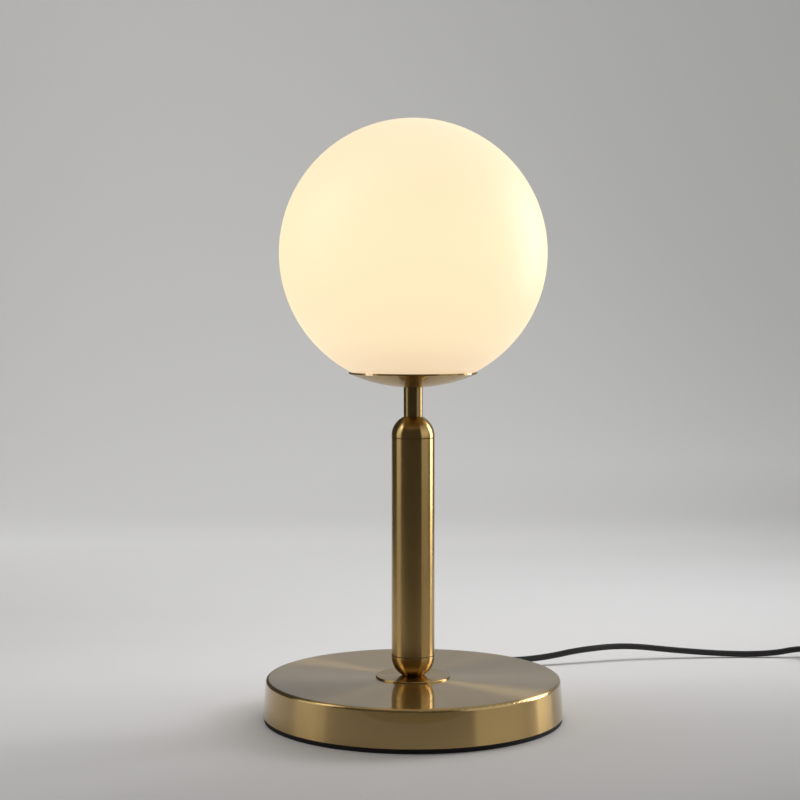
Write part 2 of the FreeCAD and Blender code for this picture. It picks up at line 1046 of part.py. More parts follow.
def leadSolid(label, wire):
    first = wire.OrderedEdges[0]
    start = first.valueAt(first.FirstParameter)
    along = first.tangentAt(first.FirstParameter)
    section = Part.Wire(Part.makeCircle(sizes["leadRadius"], start, along))
    shell = Part.BRepOffsetAPI.MakePipeShell(wire)
    shell.add(section)
    shell.build()
    if not shell.makeSolid():
        raise RuntimeError(f"{label} doesn't close")
    solid = Part.Solid(shell.shape())
    if solid.Volume < 0:
        solid.reverse()
    expected = leadSection * wire.Length
    print(label, "length", round(wire.Length, 1), "volume share", round(solid.Volume / expected, 4))
    feature = doc.addObject("Part::Feature", label)
    feature.Label = label
    feature.Shape = solid
    return feature


def innerLead():
    # from inside the skirt along the slot, up through the rod, to the underside of the insert
    height = sizes["leadHeight"]
    bend = sizes["leadBendRadius"]
    start = sizes["baseRadius"] - sizes["coverWall"] * 2
    diagonal = bend * (1 - math.sqrt(0.5))
    edges = [
        Part.LineSegment(Vector(0, start, height), Vector(0, bend, height)).toShape(),
        Part.Arc(
            Vector(0, bend, height),
            Vector(0, diagonal, height + diagonal),
            Vector(0, 0, height + bend),
        ).toShape(),
        Part.LineSegment(Vector(0, 0, height + bend), Vector(0, 0, insertBottom.value)).toShape(),
    ]
    return leadSolid("inner_lead", Part.Wire(edges))


def strainRelief():
    # a tapered sleeve in the skirt, ringed for bending, with a collar against the cover
    bore = size("leadRadius") + size("fitClearance")
    neck = size("sleeveTipRadius")
    collar = size("sleeveCollar")
    body = newBody("strain_relief")
    inside = size("coverWall") * 2
    length = size("sleeveLength")
    wide = size("sleeveRadius")
    outline = [
        (bore, -inside),
        (neck, -inside),
        (neck, zero),
        (wide, zero),
        (wide, collar),
        (wide - collar / 3, collar * 2),
        (neck, length),
        (bore, length),
    ]
    turn(body, "sleeve_turning", outline)
    body.Placement = Placement(Vector(), Rotation(Vector(1, 0, 0), -90))
    body.setExpression("Placement.Base.y", skirtBack.formula)
    body.setExpression("Placement.Base.z", size("leadHeight").formula)
    return body


# radius of the flared skirt at the top of the sleeve's collar, where they meet
flareShare = -size("skirtFlare") / (size("baseHeight") - size("baseEdgeRadius") - size("footPadThickness"))
collarFoot = size("leadHeight") - size("sleeveRadius") - size("footPadThickness")
skirtBack = size("baseRadius") + flareShare * collarFoot + size("fitClearance")

leadLow = sizes["leadRadius"] + sizes["leadRest"]
sleeveEnd = skirtBack.value + sizes["sleeveLength"]

# Places of what lies on the floor
switchX = sizes["switchPlaceX"]
switchY = sizes["switchPlaceY"]
coilX = sizes["coilPlaceX"]
coilY = sizes["coilPlaceY"]


def lampLead():
    # out of the sleeve, in a low hump towards the right, then along the floor to the switch
    route = [
        Vector(0, skirtBack.value - sizes["coverWall"], sizes["leadHeight"]),
        Vector(0, 147.0, sizes["leadHeight"]),
        Vector(12.0, 178.0, 9.0),
        Vector(43.0, 188.5, 8.2),
        Vector(86.0, 190.5, 7.0),
        Vector(118.0, 195.5, 7.0),
        Vector(146.0, 203.0, 11.8),
        Vector(188.0, 219.5, 12.9),
        Vector(236.0, 226.2, 6.6),
        Vector(288.0, 229.5, leadLow),
        Vector(322.0, 229.6, 3.6),
        Vector(343.0, switchY, sizes["switchSplitHeight"]),
        Vector(switchX + sizes["switchLeadDepth"], switchY, sizes["switchSplitHeight"]),
    ]
    return leadSolid("lamp_lead", roundedWire("lamp_lead", route))


def arcMiddle(first, tangent, last):
    # middle of the arc that leaves first along tangent and ends at last
    chord = last - first
    along = Vector(chord).normalize()
    aside = tangent - along * tangent.dot(along)
    angle = tangent.getAngle(chord)
    return (first + last) / 2 + aside.normalize() * (chord.Length / 2 * math.tan(angle / 2))


def biarc(first, firstTangent, last, lastTangent):
    # two arcs that join smoothly and have the given directions at the ends
    chord = last - first
    both = firstTangent + lastTangent
    spread = 2 * (1 - firstTangent.dot(lastTangent))
    along = chord.dot(both)
    reach = (math.sqrt(along * along + spread * chord.dot(chord)) - along) / spread
    joint = (first + last + (firstTangent - lastTangent) * reach) / 2
    jointMiddle = arcMiddle(first, firstTangent, joint)
    backMiddle = arcMiddle(last, lastTangent * -1, joint)
    return [Part.Arc(first, jointMiddle, joint).toShape(), Part.Arc(joint, backMiddle, last).toShape()]


def coilPath():
    # quarter-turn stations: steadily in along the floor, then out again one layer higher,
    # with the climb in the half turn where the spiral reverses
    quarters = 24
    climbFirst = 11
    climbLast = 13
    pitch = 2 * sizes["leadRadius"] + sizes["coilGap"]
    layer = 2 * sizes["leadRadius"] + sizes["coilLayerGap"]
    centre = Vector(coilX, coilY, leadLow)
    upright = Vector(0, 0, 1)
    stations = []
    for quarter in range(quarters + 1):
        radius = sizes["coilOuterRadius"] - pitch * min(quarter, quarters - quarter) / 4
        climbed = min(max(quarter - climbFirst, 0), climbLast - climbFirst) / (climbLast - climbFirst)
        angle = -math.pi / 2 * quarter
        outward = Vector(math.cos(angle), math.sin(angle), 0)
        ahead = Vector(math.sin(angle), -math.cos(angle), 0)
        slope = pitch / (2 * math.pi * radius)
        if 0 < quarter < quarters / 2:
            ahead = ahead - outward * slope
        if quarters / 2 < quarter < quarters:
            ahead = ahead + outward * slope
        if climbFirst < quarter < climbLast:
            ahead = ahead + upright * (2 * layer / (math.pi * radius * (climbLast - climbFirst)))
        stations.append((centre + outward * radius + upright * (layer * climbed), ahead.normalize()))
    return stations


def leastSelfGap(edges):
    # least distance between stretches of the path that are more than half a turn apart, less a diameter
    step = sizes["leadRadius"]
    points = []
    travelled = []
    done = 0.0
    for edge in edges:
        count = max(int(edge.Length / step), 2)
        for index in range(count):
            parameter = edge.FirstParameter + (edge.LastParameter - edge.FirstParameter) * index / count
            points.append(edge.valueAt(parameter))
            travelled.append(done + edge.Length * index / count)
        done += edge.Length
    apart = 2 * sizes["coilOuterRadius"]
    least = min(
        (points[i] - points[j]).Length
        for i in range(len(points))
        for j in range(i + 1, len(points))
        if travelled[j] - travelled[i] > apart
    )
    return least - 2 * sizes["leadRadius"]


def leadCoil():
    stations = coilPath()
    straight = 2 * sizes["leadRadius"]
    first, firstAhead = stations[0]
    last, lastAhead = stations[-1]
    edges = [Part.LineSegment(first - firstAhead * straight, first).toShape()]
    for (here, ahead), (there, thereAhead) in zip(stations, stations[1:]):
        edges.extend(biarc(here, ahead, there, thereAhead))
    edges.append(Part.LineSegment(last, last + lastAhead * straight).toShape())
    wire = Part.Wire(edges)
    print("lead_coil least gap to itself", round(leastSelfGap(edges), 2))
    return leadSolid("lead_coil", wire)


def coilTie():
    # a strap round the windings, opposite the side where the lead comes in and goes out
    pitch = size("leadRadius") * 2 + size("coilGap")
    halfTurn = pitch / 2
    inward = pitch * 2
    outside = size("coilOuterRadius") - halfTurn + size("leadRadius")
    inside = size("coilOuterRadius") - halfTurn - inward - size("leadRadius")
    top = size("leadRest") + size("leadRadius") * 4 + size("coilLayerGap")
    strap = size("tieThickness")
    body = newBody("coil_tie")

    def loop(sketch):
        drawOutline(
            sketch,
            [
                (-outside - strap, zero),
                (-inside + strap, zero),
                (-inside + strap, top + strap),
                (-outside - strap, top + strap),
            ],
        )
        drawOutline(sketch, [(-outside, strap), (-inside, strap), (-inside, top), (-outside, top)])

    pad(body, "tie_loop", "XZ_Plane", loop, size("tieWidth"), middle=True)
    reach = (outside + strap).value
    corner = (inside - strap).value
    near = sizes["fitClearance"] / 2
    roundEdges(
        body,
        "tie_corners",
        lambda edge: edge.BoundBox.XLength < near
        and edge.BoundBox.ZLength < near
        and (abs(edge.BoundBox.XMin + reach) < near or abs(edge.BoundBox.XMin + corner) < near),
        strap * 2,
    )
    body.Placement = Placement(Vector(coilX, coilY, 0), Rotation())
    return body


def switchLead():
    # from the switch in one easy bend to the coil
    straight = 2 * sizes["leadRadius"]
    leave = switchX + sizes["switchLength"]
    coilRight = coilX + sizes["coilOuterRadius"]
    coilStart = Vector(coilRight, coilY + straight, leadLow)
    route = [
        Vector(leave - sizes["switchLeadDepth"], switchY, sizes["switchSplitHeight"]),
        Vector(426.5, switchY, sizes["switchSplitHeight"]),
        Vector(440.8, 220.8, 6.8),
        Vector(coilRight, 206.5, 4.6),
        Vector(coilRight, 187.5, leadLow),
        coilStart,
    ]
    return leadSolid("switch_lead", roundedWire("switch_lead", route))


def plugLead():
    # from the top of the coil down to the plug, which lies beside it
    straight = 2 * sizes["leadRadius"]
    coilRight = coilX + sizes["coilOuterRadius"]
    top = leadLow + straight + sizes["coilLayerGap"]
    route = [
        Vector(coilRight, coilY - straight, top),
        Vector(coilRight, 147.0, top),
        Vector(coilRight, 135.0, sizes["plugThickness"] / 2),
        Vector(coilRight, coilY - straight - sizes["plugReach"], sizes["plugThickness"] / 2),
    ]
    return leadSolid("plug_lead", roundedWire("plug_lead", route))


# Switch on the lead: two moulded halves, a rocker on two stub pins, contacts and screws

def placeSwitch(body, z=zero):
    body.Placement = Placement(Vector(switchX + sizes["switchLength"] / 2, switchY, 0), Rotation())
    body.setExpression("Placement.Base.z", z.formula)
    return body


def switchPlan(inset):
    # a long rounded plan that narrows to both ends
    half = size("switchLength") / 2 - inset
    width = size("switchWidth") / 2 - inset
    noseShare = 0.45
    waistShare = 0.62
    nose = size("switchWidth") / 2 * noseShare - inset / 2
    waist = half * waistShare
    return [
        (-half, -nose),
        (-waist, -width),
        (waist, -width),
        (half, -nose),
        (half, nose),
        (waist, width),
        (-waist, width),
        (-half, nose),
    ]


def leadSockets(body, label, level):
    # the blind holes at both ends that grip the lead, half in each moulding
    radius = size("leadRadius") + size("fitClearance")
    hole = cut(
        body,
        label + "_socket",
        "YZ_Plane",
        lambda sketch: drawCircle(sketch, zero, level, radius),
        size("switchLeadDepth") + size("overrun"),
        lift=size("switchLength") / 2 - size("switchLeadDepth"),
        reverse=True,
    )
    mirrorCopy(body, label + "_sockets", [hole], "YZ_Plane")


def onLevel(level):
    near = sizes["fitClearance"] / 2
    return lambda edge: abs(edge.BoundBox.ZMax - level) < near and abs(edge.BoundBox.ZMin - level) < near


def switchBase():
    body = newBody("switch_base")
    height = size("switchSplitHeight")
    pad(body, "switch_base_block", "XY_Plane", lambda sketch: drawOutline(sketch, switchPlan(zero)), height)
    roundEdges(body, "switch_base_edge", onLevel(0.0), size("switchEdge") / 2)
    floorLevel = size("switchWall")
    cavityX = size("rockerLength") / 2 + size("switchWall")
    cavityY = size("switchWidth") / 2 - size("switchWall")
    cut(
        body,
        "switch_base_cavity",
        "XY_Plane",
        lambda sketch: drawOutline(
            sketch,
            [(-cavityX, -cavityY), (cavityX, -cavityY), (cavityX, cavityY), (-cavityX, cavityY)],
        ),
        height,
        lift=floorLevel,
        reverse=True,
    )
    leadSockets(body, "switch_base", height)
    holeRadius = size("clampScrewRadius")
    hole = cut(
        body,
        "switch_screw_hole",
        "XY_Plane",
        lambda sketch: drawCircle(sketch, switchScrewX, switchScrewY, holeRadius),
        height,
        reverse=True,
    )
    seat = cut(
        body,
        "switch_screw_seat",
        "XY_Plane",
        lambda sketch: drawCircle(
            sketch, switchScrewX, switchScrewY, size("clampScrewHeadRadius") + size("fitClearance")
        ),
        size("clampScrewHeadHeight") + size("fitClearance"),
        reverse=True,
    )
    mirrorCopy(body, "switch_screw_holes", [hole, seat], "YZ_Plane")
    return placeSwitch(body)


switchScrewX = size("switchLength") / 2 - size("switchLeadDepth") - size("clampScrewHeadRadius") * 2
switchScrewY = zero
rockerPivot = size("switchHeight") - size("switchWall") - size("rockerPinRadius") * 2


def switchCover():
    body = newBody("switch_cover")
    height = size("switchHeight") - size("switchSplitHeight")
    pad(body, "switch_cover_block", "XY_Plane", lambda sketch: drawOutline(sketch, switchPlan(zero)), height)
    roundEdges(body, "switch_cover_edge", onLevel(height.value), size("switchEdge"))
    roof = height - size("switchWall")
    cavityX = size("rockerLength") / 2 + size("switchWall")
    cavityY = size("rockerWidth") / 2 + size("rockerGap")
    cut(
        body,
        "rocker_window",
        "XY_Plane",
        lambda sketch: drawOutline(
            sketch,
            [
                (-cavityX + size("switchWall") - size("rockerGap"), -cavityY),
                (cavityX - size("switchWall") + size("rockerGap"), -cavityY),
                (cavityX - size("switchWall") + size("rockerGap"), cavityY),
                (-cavityX + size("switchWall") - size("rockerGap"), cavityY),
            ],
        ),
        height,
        reverse=True,
    )
    pinHole = size("rockerPinRadius") + size("runningClearance")
    pinDepth = size("rockerWidth") + (size("rockerPinLength") + size("rockerGap")) * 2
    cut(
        body,
        "rocker_bearing",
        "XZ_Plane",
        lambda sketch: drawCircle(sketch, zero, rockerPivot - size("switchSplitHeight"), pinHole),
        pinDepth,
        middle=True,
    )
    leadSockets(body, "switch_cover", zero)
    screwHole = size("clampScrewRadius")
    hole = cut(
        body,
        "switch_cover_hole",
        "XY_Plane",
        lambda sketch: drawCircle(sketch, switchScrewX, switchScrewY, screwHole),
        roof / 2,
        reverse=True,
    )
    mirrorCopy(body, "switch_cover_holes", [hole], "YZ_Plane")
    return placeSwitch(body, size("switchSplitHeight"))


def switchRocker():
    # a rocker with a hollowed top, drawn about its pivot and tipped to its ON side
    half = size("rockerLength") / 2
    rise = size("rockerRise") + size("rockerPinRadius") * 2 + size("switchWall")
    low = size("rockerPinRadius") * 2
    bottomShare = 0.7
    hollowShare = 1.6
    bottom = half * bottomShare
    hollow = size("rockerLength") * hollowShare
    body = newBody("switch_rocker")
    profile = [
        (-bottom, -low),
        (bottom, -low),
        (half - size("rockerGap"), zero),
        (half - size("rockerGap"), rise, -hollow),
        (-half + size("rockerGap"), rise),
        (-half + size("rockerGap"), zero),
    ]
    pad(
        body,
        "rocker_block",
        "XZ_Plane",
        lambda sketch: drawOutline(sketch, profile),
        size("rockerWidth"),
        middle=True,
    )
    pad(
        body,
        "rocker_pins",
        "XZ_Plane",
        lambda sketch: drawCircle(sketch, zero, zero, size("rockerPinRadius")),
        size("rockerWidth") + size("rockerPinLength") * 2,
        middle=True,
    )
    body.Placement = Placement(
        Vector(switchX + sizes["switchLength"] / 2, switchY, 0),
        Rotation(Vector(0, 1, 0), sizes["rockerTilt"]),
    )
    body.setExpression("Placement.Base.z", rockerPivot.formula)
    return body


def switchContacts():
    # two brass strips on the floor of the lower half
    sheetMetal = size("contactSheet")
    body = newBody("switch_contacts")
    inner = size("rockerLength") / 4
    outer = size("rockerLength") / 2
    width = size("contactWidth") / 2

    def plan(sketch):
        drawOutline(sketch, [(inner, -width), (outer, -width), (outer, width), (inner, width)])

    strip = pad(body, "contact_plate", "XY_Plane", plan, sheetMetal)
    mirrorCopy(body, "contact_plates", [strip], "YZ_Plane")
    return placeSwitch(body, size("switchWall"))


def switchScrews():
    outline = screwOutline(
        size("clampScrewRadius") - size("fitClearance"),
        size("switchSplitHeight") + size("fitClearance"),
        size("clampScrewHeadRadius"),
        size("clampScrewHeadHeight"),
    )
    middle = Length(switchX, repr(switchX)) + size("switchLength") / 2
    line = Length(switchY, repr(switchY))
    return screwPair(
        "switch_screws",
        switchScrewX * 2,
        outline,
        middle,
        line,
        size("clampScrewHeadHeight"),
        underside=True,
    )


# Plug: a flat moulded body with two round pins, lying beside the coil and pointing along -Y

def plugPlacement():
    straight = 2 * sizes["leadRadius"]
    coilRight = coilX + sizes["coilOuterRadius"]
    leadEnd = coilY - straight - sizes["plugReach"]
    place = Vector(coilRight, leadEnd, sizes["plugThickness"] / 2)
    return Placement(place, Rotation(Vector(0, 0, 1), 180))


def plugBody():
    # drawn along +Y from the end of its boot, about the middle of its thickness
    body = newBody("plug_body")
    boot = size("plugBootLength")
    front = boot + size("plugLength")
    neck = size("plugNeckWidth") / 2
    wide = size("plugWidth") / 2
    shoulder = boot + size("plugLength") / 2
    noseShare = 0.82
    noseWidth = wide * noseShare

    def plan(sketch):
        drawOutline(
            sketch,
            [
                (-neck, boot),
                (neck, boot),
                (wide, shoulder),
                (noseWidth, front),
                (-noseWidth, front),
                (-wide, shoulder),
            ],
        )

    pad(body, "plug_block", "XY_Plane", plan, size("plugThickness"), middle=True)
    half = sizes["plugThickness"] / 2
    onTop = onLevel(half)
    onUnderside = onLevel(-half)
    roundEdges(
        body,
        "plug_edges",
        lambda edge: onTop(edge) or onUnderside(edge),
        size("plugThickness") / 5,
    )
    bootTip = size("leadRadius") * 1.5
    sketch = newSketch(body, "boot_profile", "XY_Plane")
    drawOutline(
        sketch,
        [
            (zero, zero),
            (bootTip, zero),
            (neck - size("plugThickness") / 5, boot + size("plugThickness") / 5),
            (zero, boot + size("plugThickness") / 5),
        ],
    )
    feature = body.newObject("PartDesign::Revolution", "plug_boot")
    feature.Profile = sketch
    feature.ReferenceAxis = (sketch, ["V_Axis"])
    feature.Angle = 360
    doc.recompute()
    holeRadius = size("pinRootRadius") + size("runningClearance")
    hole = cut(
        body,
        "pin_hole",
        "XZ_Plane",
        lambda drawing: drawCircle(drawing, size("pinSpacing") / 2, zero, holeRadius),
        size("pinRootDepth"),
        lift=-front,
        reverse=True,
    )
    mirrorCopy(body, "pin_holes", [hole], "YZ_Plane")
    body.Placement = plugPlacement()
    return body


def plugPins():
    # round pins, each on a thinner root that is moulded into the body
    body = newBody("plug_pins")
    front = size("plugBootLength") + size("plugLength")
    radius = size("pinRadius")
    middle = size("pinSpacing") / 2
    back = front - size("pinRootDepth")
    tip = front + size("pinLength")
    root = middle + size("pinRootRadius")
    nose = radius / 2
    sketch = newSketch(body, "pin_profile", "XY_Plane")
    drawOutline(
        sketch,
        [
            (middle, back),
            (root, back),
            (root, front),
            (middle + radius, front),
            (middle + radius, tip - nose, nose),
            (middle + radius - nose, tip),
            (middle, tip),
        ],
    )
    axis = sketch.addGeometry(
        Part.LineSegment(Vector(middle.value, back.value, 0), Vector(middle.value, tip.value, 0)), True
    )
    pinPoint(sketch, axis, 1, middle, back)
    pinPoint(sketch, axis, 2, middle, tip)
    feature = body.newObject("PartDesign::Revolution", "pin_turning")
    feature.Profile = sketch
    feature.ReferenceAxis = (sketch, ["Axis0"])
    feature.Angle = 360
    doc.recompute()
    mirrorCopy(body, "pin_pair", [feature], "YZ_Plane")
    body.Placement = plugPlacement()
    return body


parts = [
    footPad(),
    baseWeight(),
    baseCover(),
    leadClamp(),
    clampScrews(),
    rodWasher(),
    hexNut("rod_nut", nutBottom),
    baseFlange(),
    lowerCap(),
    postTube(),
    upperCap(),
    neckTube(),
    threadedRod(),
    innerLead(),
    glassHolder(),
    rimPads(),
    globeSpring(),
    hexNut("holder_nut", springTop),
    holderCap(),
    holderInsert(),
    holderContact(),
    holderLiner(),
    holderShell(),
    glassGlobe(),
    bulbContact(),
    bulbCap(),
    bulbHousing(),
    bulbDiffuser(),
    strainRelief(),
    lampLead(),
    switchBase(),
    switchCover(),
    switchRocker(),
    switchContacts(),
    switchScrews(),
    switchLead(),
    leadCoil(),
    coilTie(),
    plugLead(),
    plugBody(),
    plugPins(),
]

doc.recompute()
for item in doc.Objects:
    if "Invalid" in item.State or "Error" in item.State:
        raise RuntimeError(f"{item.Label} failed: {item.State}")
for part in parts:
    if part.Shape.isNull() or not part.Shape.isValid() or part.Shape.Volume <= 0:
        raise RuntimeError(f"{part.Label} has no valid solid")

os.makedirs("parts", exist_ok=True)
for part in parts:
    part.Shape.exportStep(f"parts/{part.Label}.step")
print(len(parts), "parts written")
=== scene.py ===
import math

import bpy
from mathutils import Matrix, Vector
from mathutils.bvhtree import BVHTree


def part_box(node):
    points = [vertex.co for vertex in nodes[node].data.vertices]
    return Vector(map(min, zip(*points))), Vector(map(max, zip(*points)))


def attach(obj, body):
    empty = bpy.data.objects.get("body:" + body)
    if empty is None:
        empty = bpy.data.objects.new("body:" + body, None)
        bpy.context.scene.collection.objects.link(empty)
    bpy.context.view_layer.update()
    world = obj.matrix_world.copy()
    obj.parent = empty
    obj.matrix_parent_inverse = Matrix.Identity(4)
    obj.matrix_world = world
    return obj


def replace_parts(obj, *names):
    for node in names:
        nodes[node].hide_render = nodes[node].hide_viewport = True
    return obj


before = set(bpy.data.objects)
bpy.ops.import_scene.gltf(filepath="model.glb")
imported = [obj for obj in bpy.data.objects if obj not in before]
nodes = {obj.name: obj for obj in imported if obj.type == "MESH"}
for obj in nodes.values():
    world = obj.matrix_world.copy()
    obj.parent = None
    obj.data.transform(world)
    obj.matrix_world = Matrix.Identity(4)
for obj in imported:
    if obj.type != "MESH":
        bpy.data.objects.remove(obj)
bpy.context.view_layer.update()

perMetre = 1000   # millimetres
print("frame loaded:", len(nodes), "nodes")

# Camera: the photograph's viewpoint, metres, with the lens and sensor in millimetres
cameraSetup = {"place": (-0.00984, -1.312, 0.3056), "pitchDown": 0.05, "lens": 78.885, "sensor": 36}


def addCamera():
    data = bpy.data.cameras.new("photoCamera")
    data.lens = cameraSetup["lens"]
    data.sensor_width = cameraSetup["sensor"]
    camera = bpy.data.objects.new("photoCamera", data)
    camera.location = cameraSetup["place"]
    camera.rotation_euler = (math.pi / 2 - cameraSetup["pitchDown"], 0, 0)
    bpy.context.scene.collection.objects.link(camera)
    bpy.context.scene.camera = camera


addCamera()


# Lead: control points of the two free stretches, in millimetres
lampLeadSetup = {
    "diameter": 0.0052,
    "route": [(0, 112.04, 9.5), (0, 147, 9.5), (10, 172, 9), (43, 183, 8), (86, 183, 6.2),
              (118, 195.5, 7), (146, 203, 11.8), (188, 219.5, 12.9), (236, 226.2, 6.6),
              (288, 229.5, 2.65), (322, 229.6, 3.6), (343, 229, 8), (360, 229, 8)],
}
switchLeadSetup = {
    "diameter": 0.0052,
    "toCoil": [(410, 229, 8), (426.5, 229, 8), (440.8, 220.8, 6.8), (449, 206.5, 4.6),
               (449, 187.5, 2.65), (449, 168.2, 2.65)],
    "toPlug": [(449, 157.8, 8.35), (449, 147, 8.35), (449, 135, 6.8), (449, 123.8, 6.8)],
    "coilCentre": (409, 163),
    "coilRadius": 40,
    "coilTightening": 5.8,   # how much smaller the middle turns are
    "turns": 6,
    "lowLayer": 2.65,        # height of the lead's middle where it lies on the floor
    "layerHeight": 5.7,
    "pointsPerTurn": 16,
}


def coilPoints(setup):
    # two flat layers: three turns inwards on the floor, three outwards on top
    quarters = setup["turns"] * 4
    steps = setup["turns"] * setup["pointsPerTurn"]
    pull = 1 / math.cos(math.pi / setup["pointsPerTurn"])
    points = []
    for step in range(1, steps):
        quarter = step * 4 / setup["pointsPerTurn"]
        inward = min(quarter, quarters - quarter) / 4
        radius = (setup["coilRadius"] - setup["coilTightening"] * inward) * pull
        angle = -math.pi / 2 * quarter
        lift = min(max((quarter - quarters / 2 + 1) / 2, 0), 1)
        points.append((setup["coilCentre"][0] + radius * math.cos(angle),
                       setup["coilCentre"][1] + radius * math.sin(angle),
                       setup["lowLayer"] + setup["layerHeight"] * lift))
    return points


def leadCurve(name, points, diameter):
    curve = bpy.data.curves.new(name, "CURVE")
    curve.dimensions = "3D"
    curve.bevel_depth = 1   # each point's radius gives the lead's own
    curve.bevel_resolution = 5
    curve.use_fill_caps = True
    spline = curve.splines.new("NURBS")
    spline.points.add(len(points) - 1)
    for target, point in zip(spline.points, points):
        target.co = (*(value / perMetre for value in point), 1)
        target.radius = diameter / 2
    spline.order_u = 3
    spline.use_endpoint_u = True
    spline.resolution_u = 8
    piece = bpy.data.objects.new(name, curve)
    bpy.context.scene.collection.objects.link(piece)
    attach(piece, "lamp")
    return piece


lampLead = leadCurve("lampLead", lampLeadSetup["route"], lampLeadSetup["diameter"])
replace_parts(lampLead, "lamp_lead")
switchLead = leadCurve(
    "switchLead",
    switchLeadSetup["toCoil"] + coilPoints(switchLeadSetup) + switchLeadSetup["toPlug"],
    switchLeadSetup["diameter"])
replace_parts(switchLead, "switch_lead", "lead_coil", "plug_lead")
print("leads laid")


def addNode(tree, kind, inputs=None, **settings):
    node = tree.nodes.new("ShaderNode" + kind)
    for key, value in settings.items():
        setattr(node, key, value)
    for key, value in (inputs or {}).items():
        if isinstance(value, bpy.types.NodeSocket):
            tree.links.new(value, node.inputs[key])
        else:
            node.inputs[key].default_value = value
    return node


socketNames = {"color": "Base Color", "specular": "Specular IOR Level", "ior": "IOR",
               "coat_ior": "Coat IOR"}


def startMaterial(name, **sockets):
    material = bpy.data.materials.new(name)
    material.use_nodes = True
    tree = material.node_tree
    shader = tree.nodes["Principled BSDF"]
    for key, value in sockets.items():
        label = socketNames.get(key, key.replace("_", " ").title())
        shader.inputs[label].default_value = value
    return material, tree, shader


def math2(tree, operation, first, second=0.0, third=0.0):
    node = addNode(tree, "Math", {0: first, 1: second, 2: third}, operation=operation)
    return node.outputs[0]


def mixColours(tree, share, first, second):
    node = addNode(tree, "Mix", {0: share, 6: first, 7: second}, data_type="RGBA")
    return node.outputs[2]


def rampBy(tree, value, levels):
    # a colour or a grey that follows a length, from a list of (length, colour or grey)
    low, high = levels[0][0], levels[-1][0]
    share = addNode(tree, "MapRange", {0: value, 1: low, 2: high})
    ramp = addNode(tree, "ValToRGB", {0: share.outputs[0]})
    stops = ramp.color_ramp.elements
    while len(stops) < len(levels):
        stops.new(0.5)
    for stop, (level, colour) in zip(stops, levels):
        stop.position = (level - low) / (high - low)
        stop.color = (*colour, 1) if isinstance(colour, tuple) else (colour, colour, colour, 1)
    return ramp


def grainNoise(tree, grain, detail=2.0):
    place = addNode(tree, "TexCoord").outputs["Object"]
    return addNode(tree, "TexNoise", {"Vector": place, "Scale": grain, "Detail": detail}).outputs[0]


def addBump(tree, shader, height, depth, strength=0.4):
    bump = addNode(tree, "Bump", {"Strength": strength, "Distance": depth, "Height": height})
    tree.links.new(bump.outputs[0], shader.inputs["Normal"])


def dress(nodeNames, material):
    for name in nodeNames:
        mesh = nodes[name].data
        if not mesh.materials:
            mesh.materials.append(material)
        for index in range(len(mesh.materials)):
            mesh.materials[index] = material


# Brushed brass: fine circular brush lines round the lamp's axis, gloss stretched across them
brassSetup = {
    "reflection": (0.49, 0.325, 0.12, 1),
    "worn": (0.53, 0.37, 0.155, 1),
    "edgeTint": (0.80, 0.785, 0.745, 1),   # how much it mirrors at a glancing angle
    "roughness": 0.185,
    "discRoughness": 0.29,   # the flat top of the base is brushed more coarsely
    "stretch": 1.0,
    "lineSpacing": 0.0007,
    "around": 1.6,           # how often a brush line changes on its way round
    "lineTone": 0.6,         # how much the lines change the colour, and below the gloss
    "lineGloss": 0.06,
    "patches": 18.0,
    "patchGloss": 0.04,
    "lineDepth": 0.00002,
    "lacquer": 0.85,         # clear coat on the base
    "thinLacquer": 0.3,      # and on the stem and the dish
    "lacquerRoughness": 0.02,
}


def brushLines(tree, spacing, along, seed=0.0):
    # noise on a cylinder: long round the axis, fine in radius and height
    place = addNode(tree, "TexCoord").outputs["Object"]
    split = addNode(tree, "SeparateXYZ", {0: place})
    x, y, z = split.outputs
    squares = [math2(tree, "MULTIPLY", side, side) for side in (x, y)]
    radius = math2(tree, "SQRT", math2(tree, "ADD", *squares))
    angle = math2(tree, "ARCTAN2", y, x)
    vector = addNode(tree, "CombineXYZ", {
        0: math2(tree, "DIVIDE", radius, spacing),
        1: math2(tree, "MULTIPLY_ADD", z, 1 / spacing, seed),
        2: math2(tree, "MULTIPLY", math2(tree, "COSINE", angle), along)})
    turn = math2(tree, "MULTIPLY", math2(tree, "SINE", angle), along)
    noise = addNode(tree, "TexNoise", {
        "Vector": vector.outputs[0], "W": turn,
        "Scale": 1.0, "Detail": 3.0, "Roughness": 0.65}, noise_dimensions="4D")
    return noise.outputs[0]


# Hairline joints between the post and its domed ends: heights, half width, how dark, colour
seamSetup = {"heights": (0.0477, 0.2118), "halfWidth": 0.0005, "dark": 0.22,
             "gap": (0.01, 0.008, 0.004, 1)}


def seamShade(tree):
    # 1 on the metal, down to dark in the middle of a joint
    setup = seamSetup
    place = addNode(tree, "TexCoord").outputs["Object"]
    height = addNode(tree, "SeparateXYZ", {0: place}).outputs[2]
    gaps = [math2(tree, "ABSOLUTE", math2(tree, "SUBTRACT", height, level))
            for level in setup["heights"]]
    near = math2(tree, "MINIMUM", *gaps)
    shade = addNode(tree, "MapRange", {
        0: near, 1: 0.0, 2: setup["halfWidth"], 3: setup["dark"], 4: 1.0},
        interpolation_type="SMOOTHSTEP")
    return shade.outputs[0]


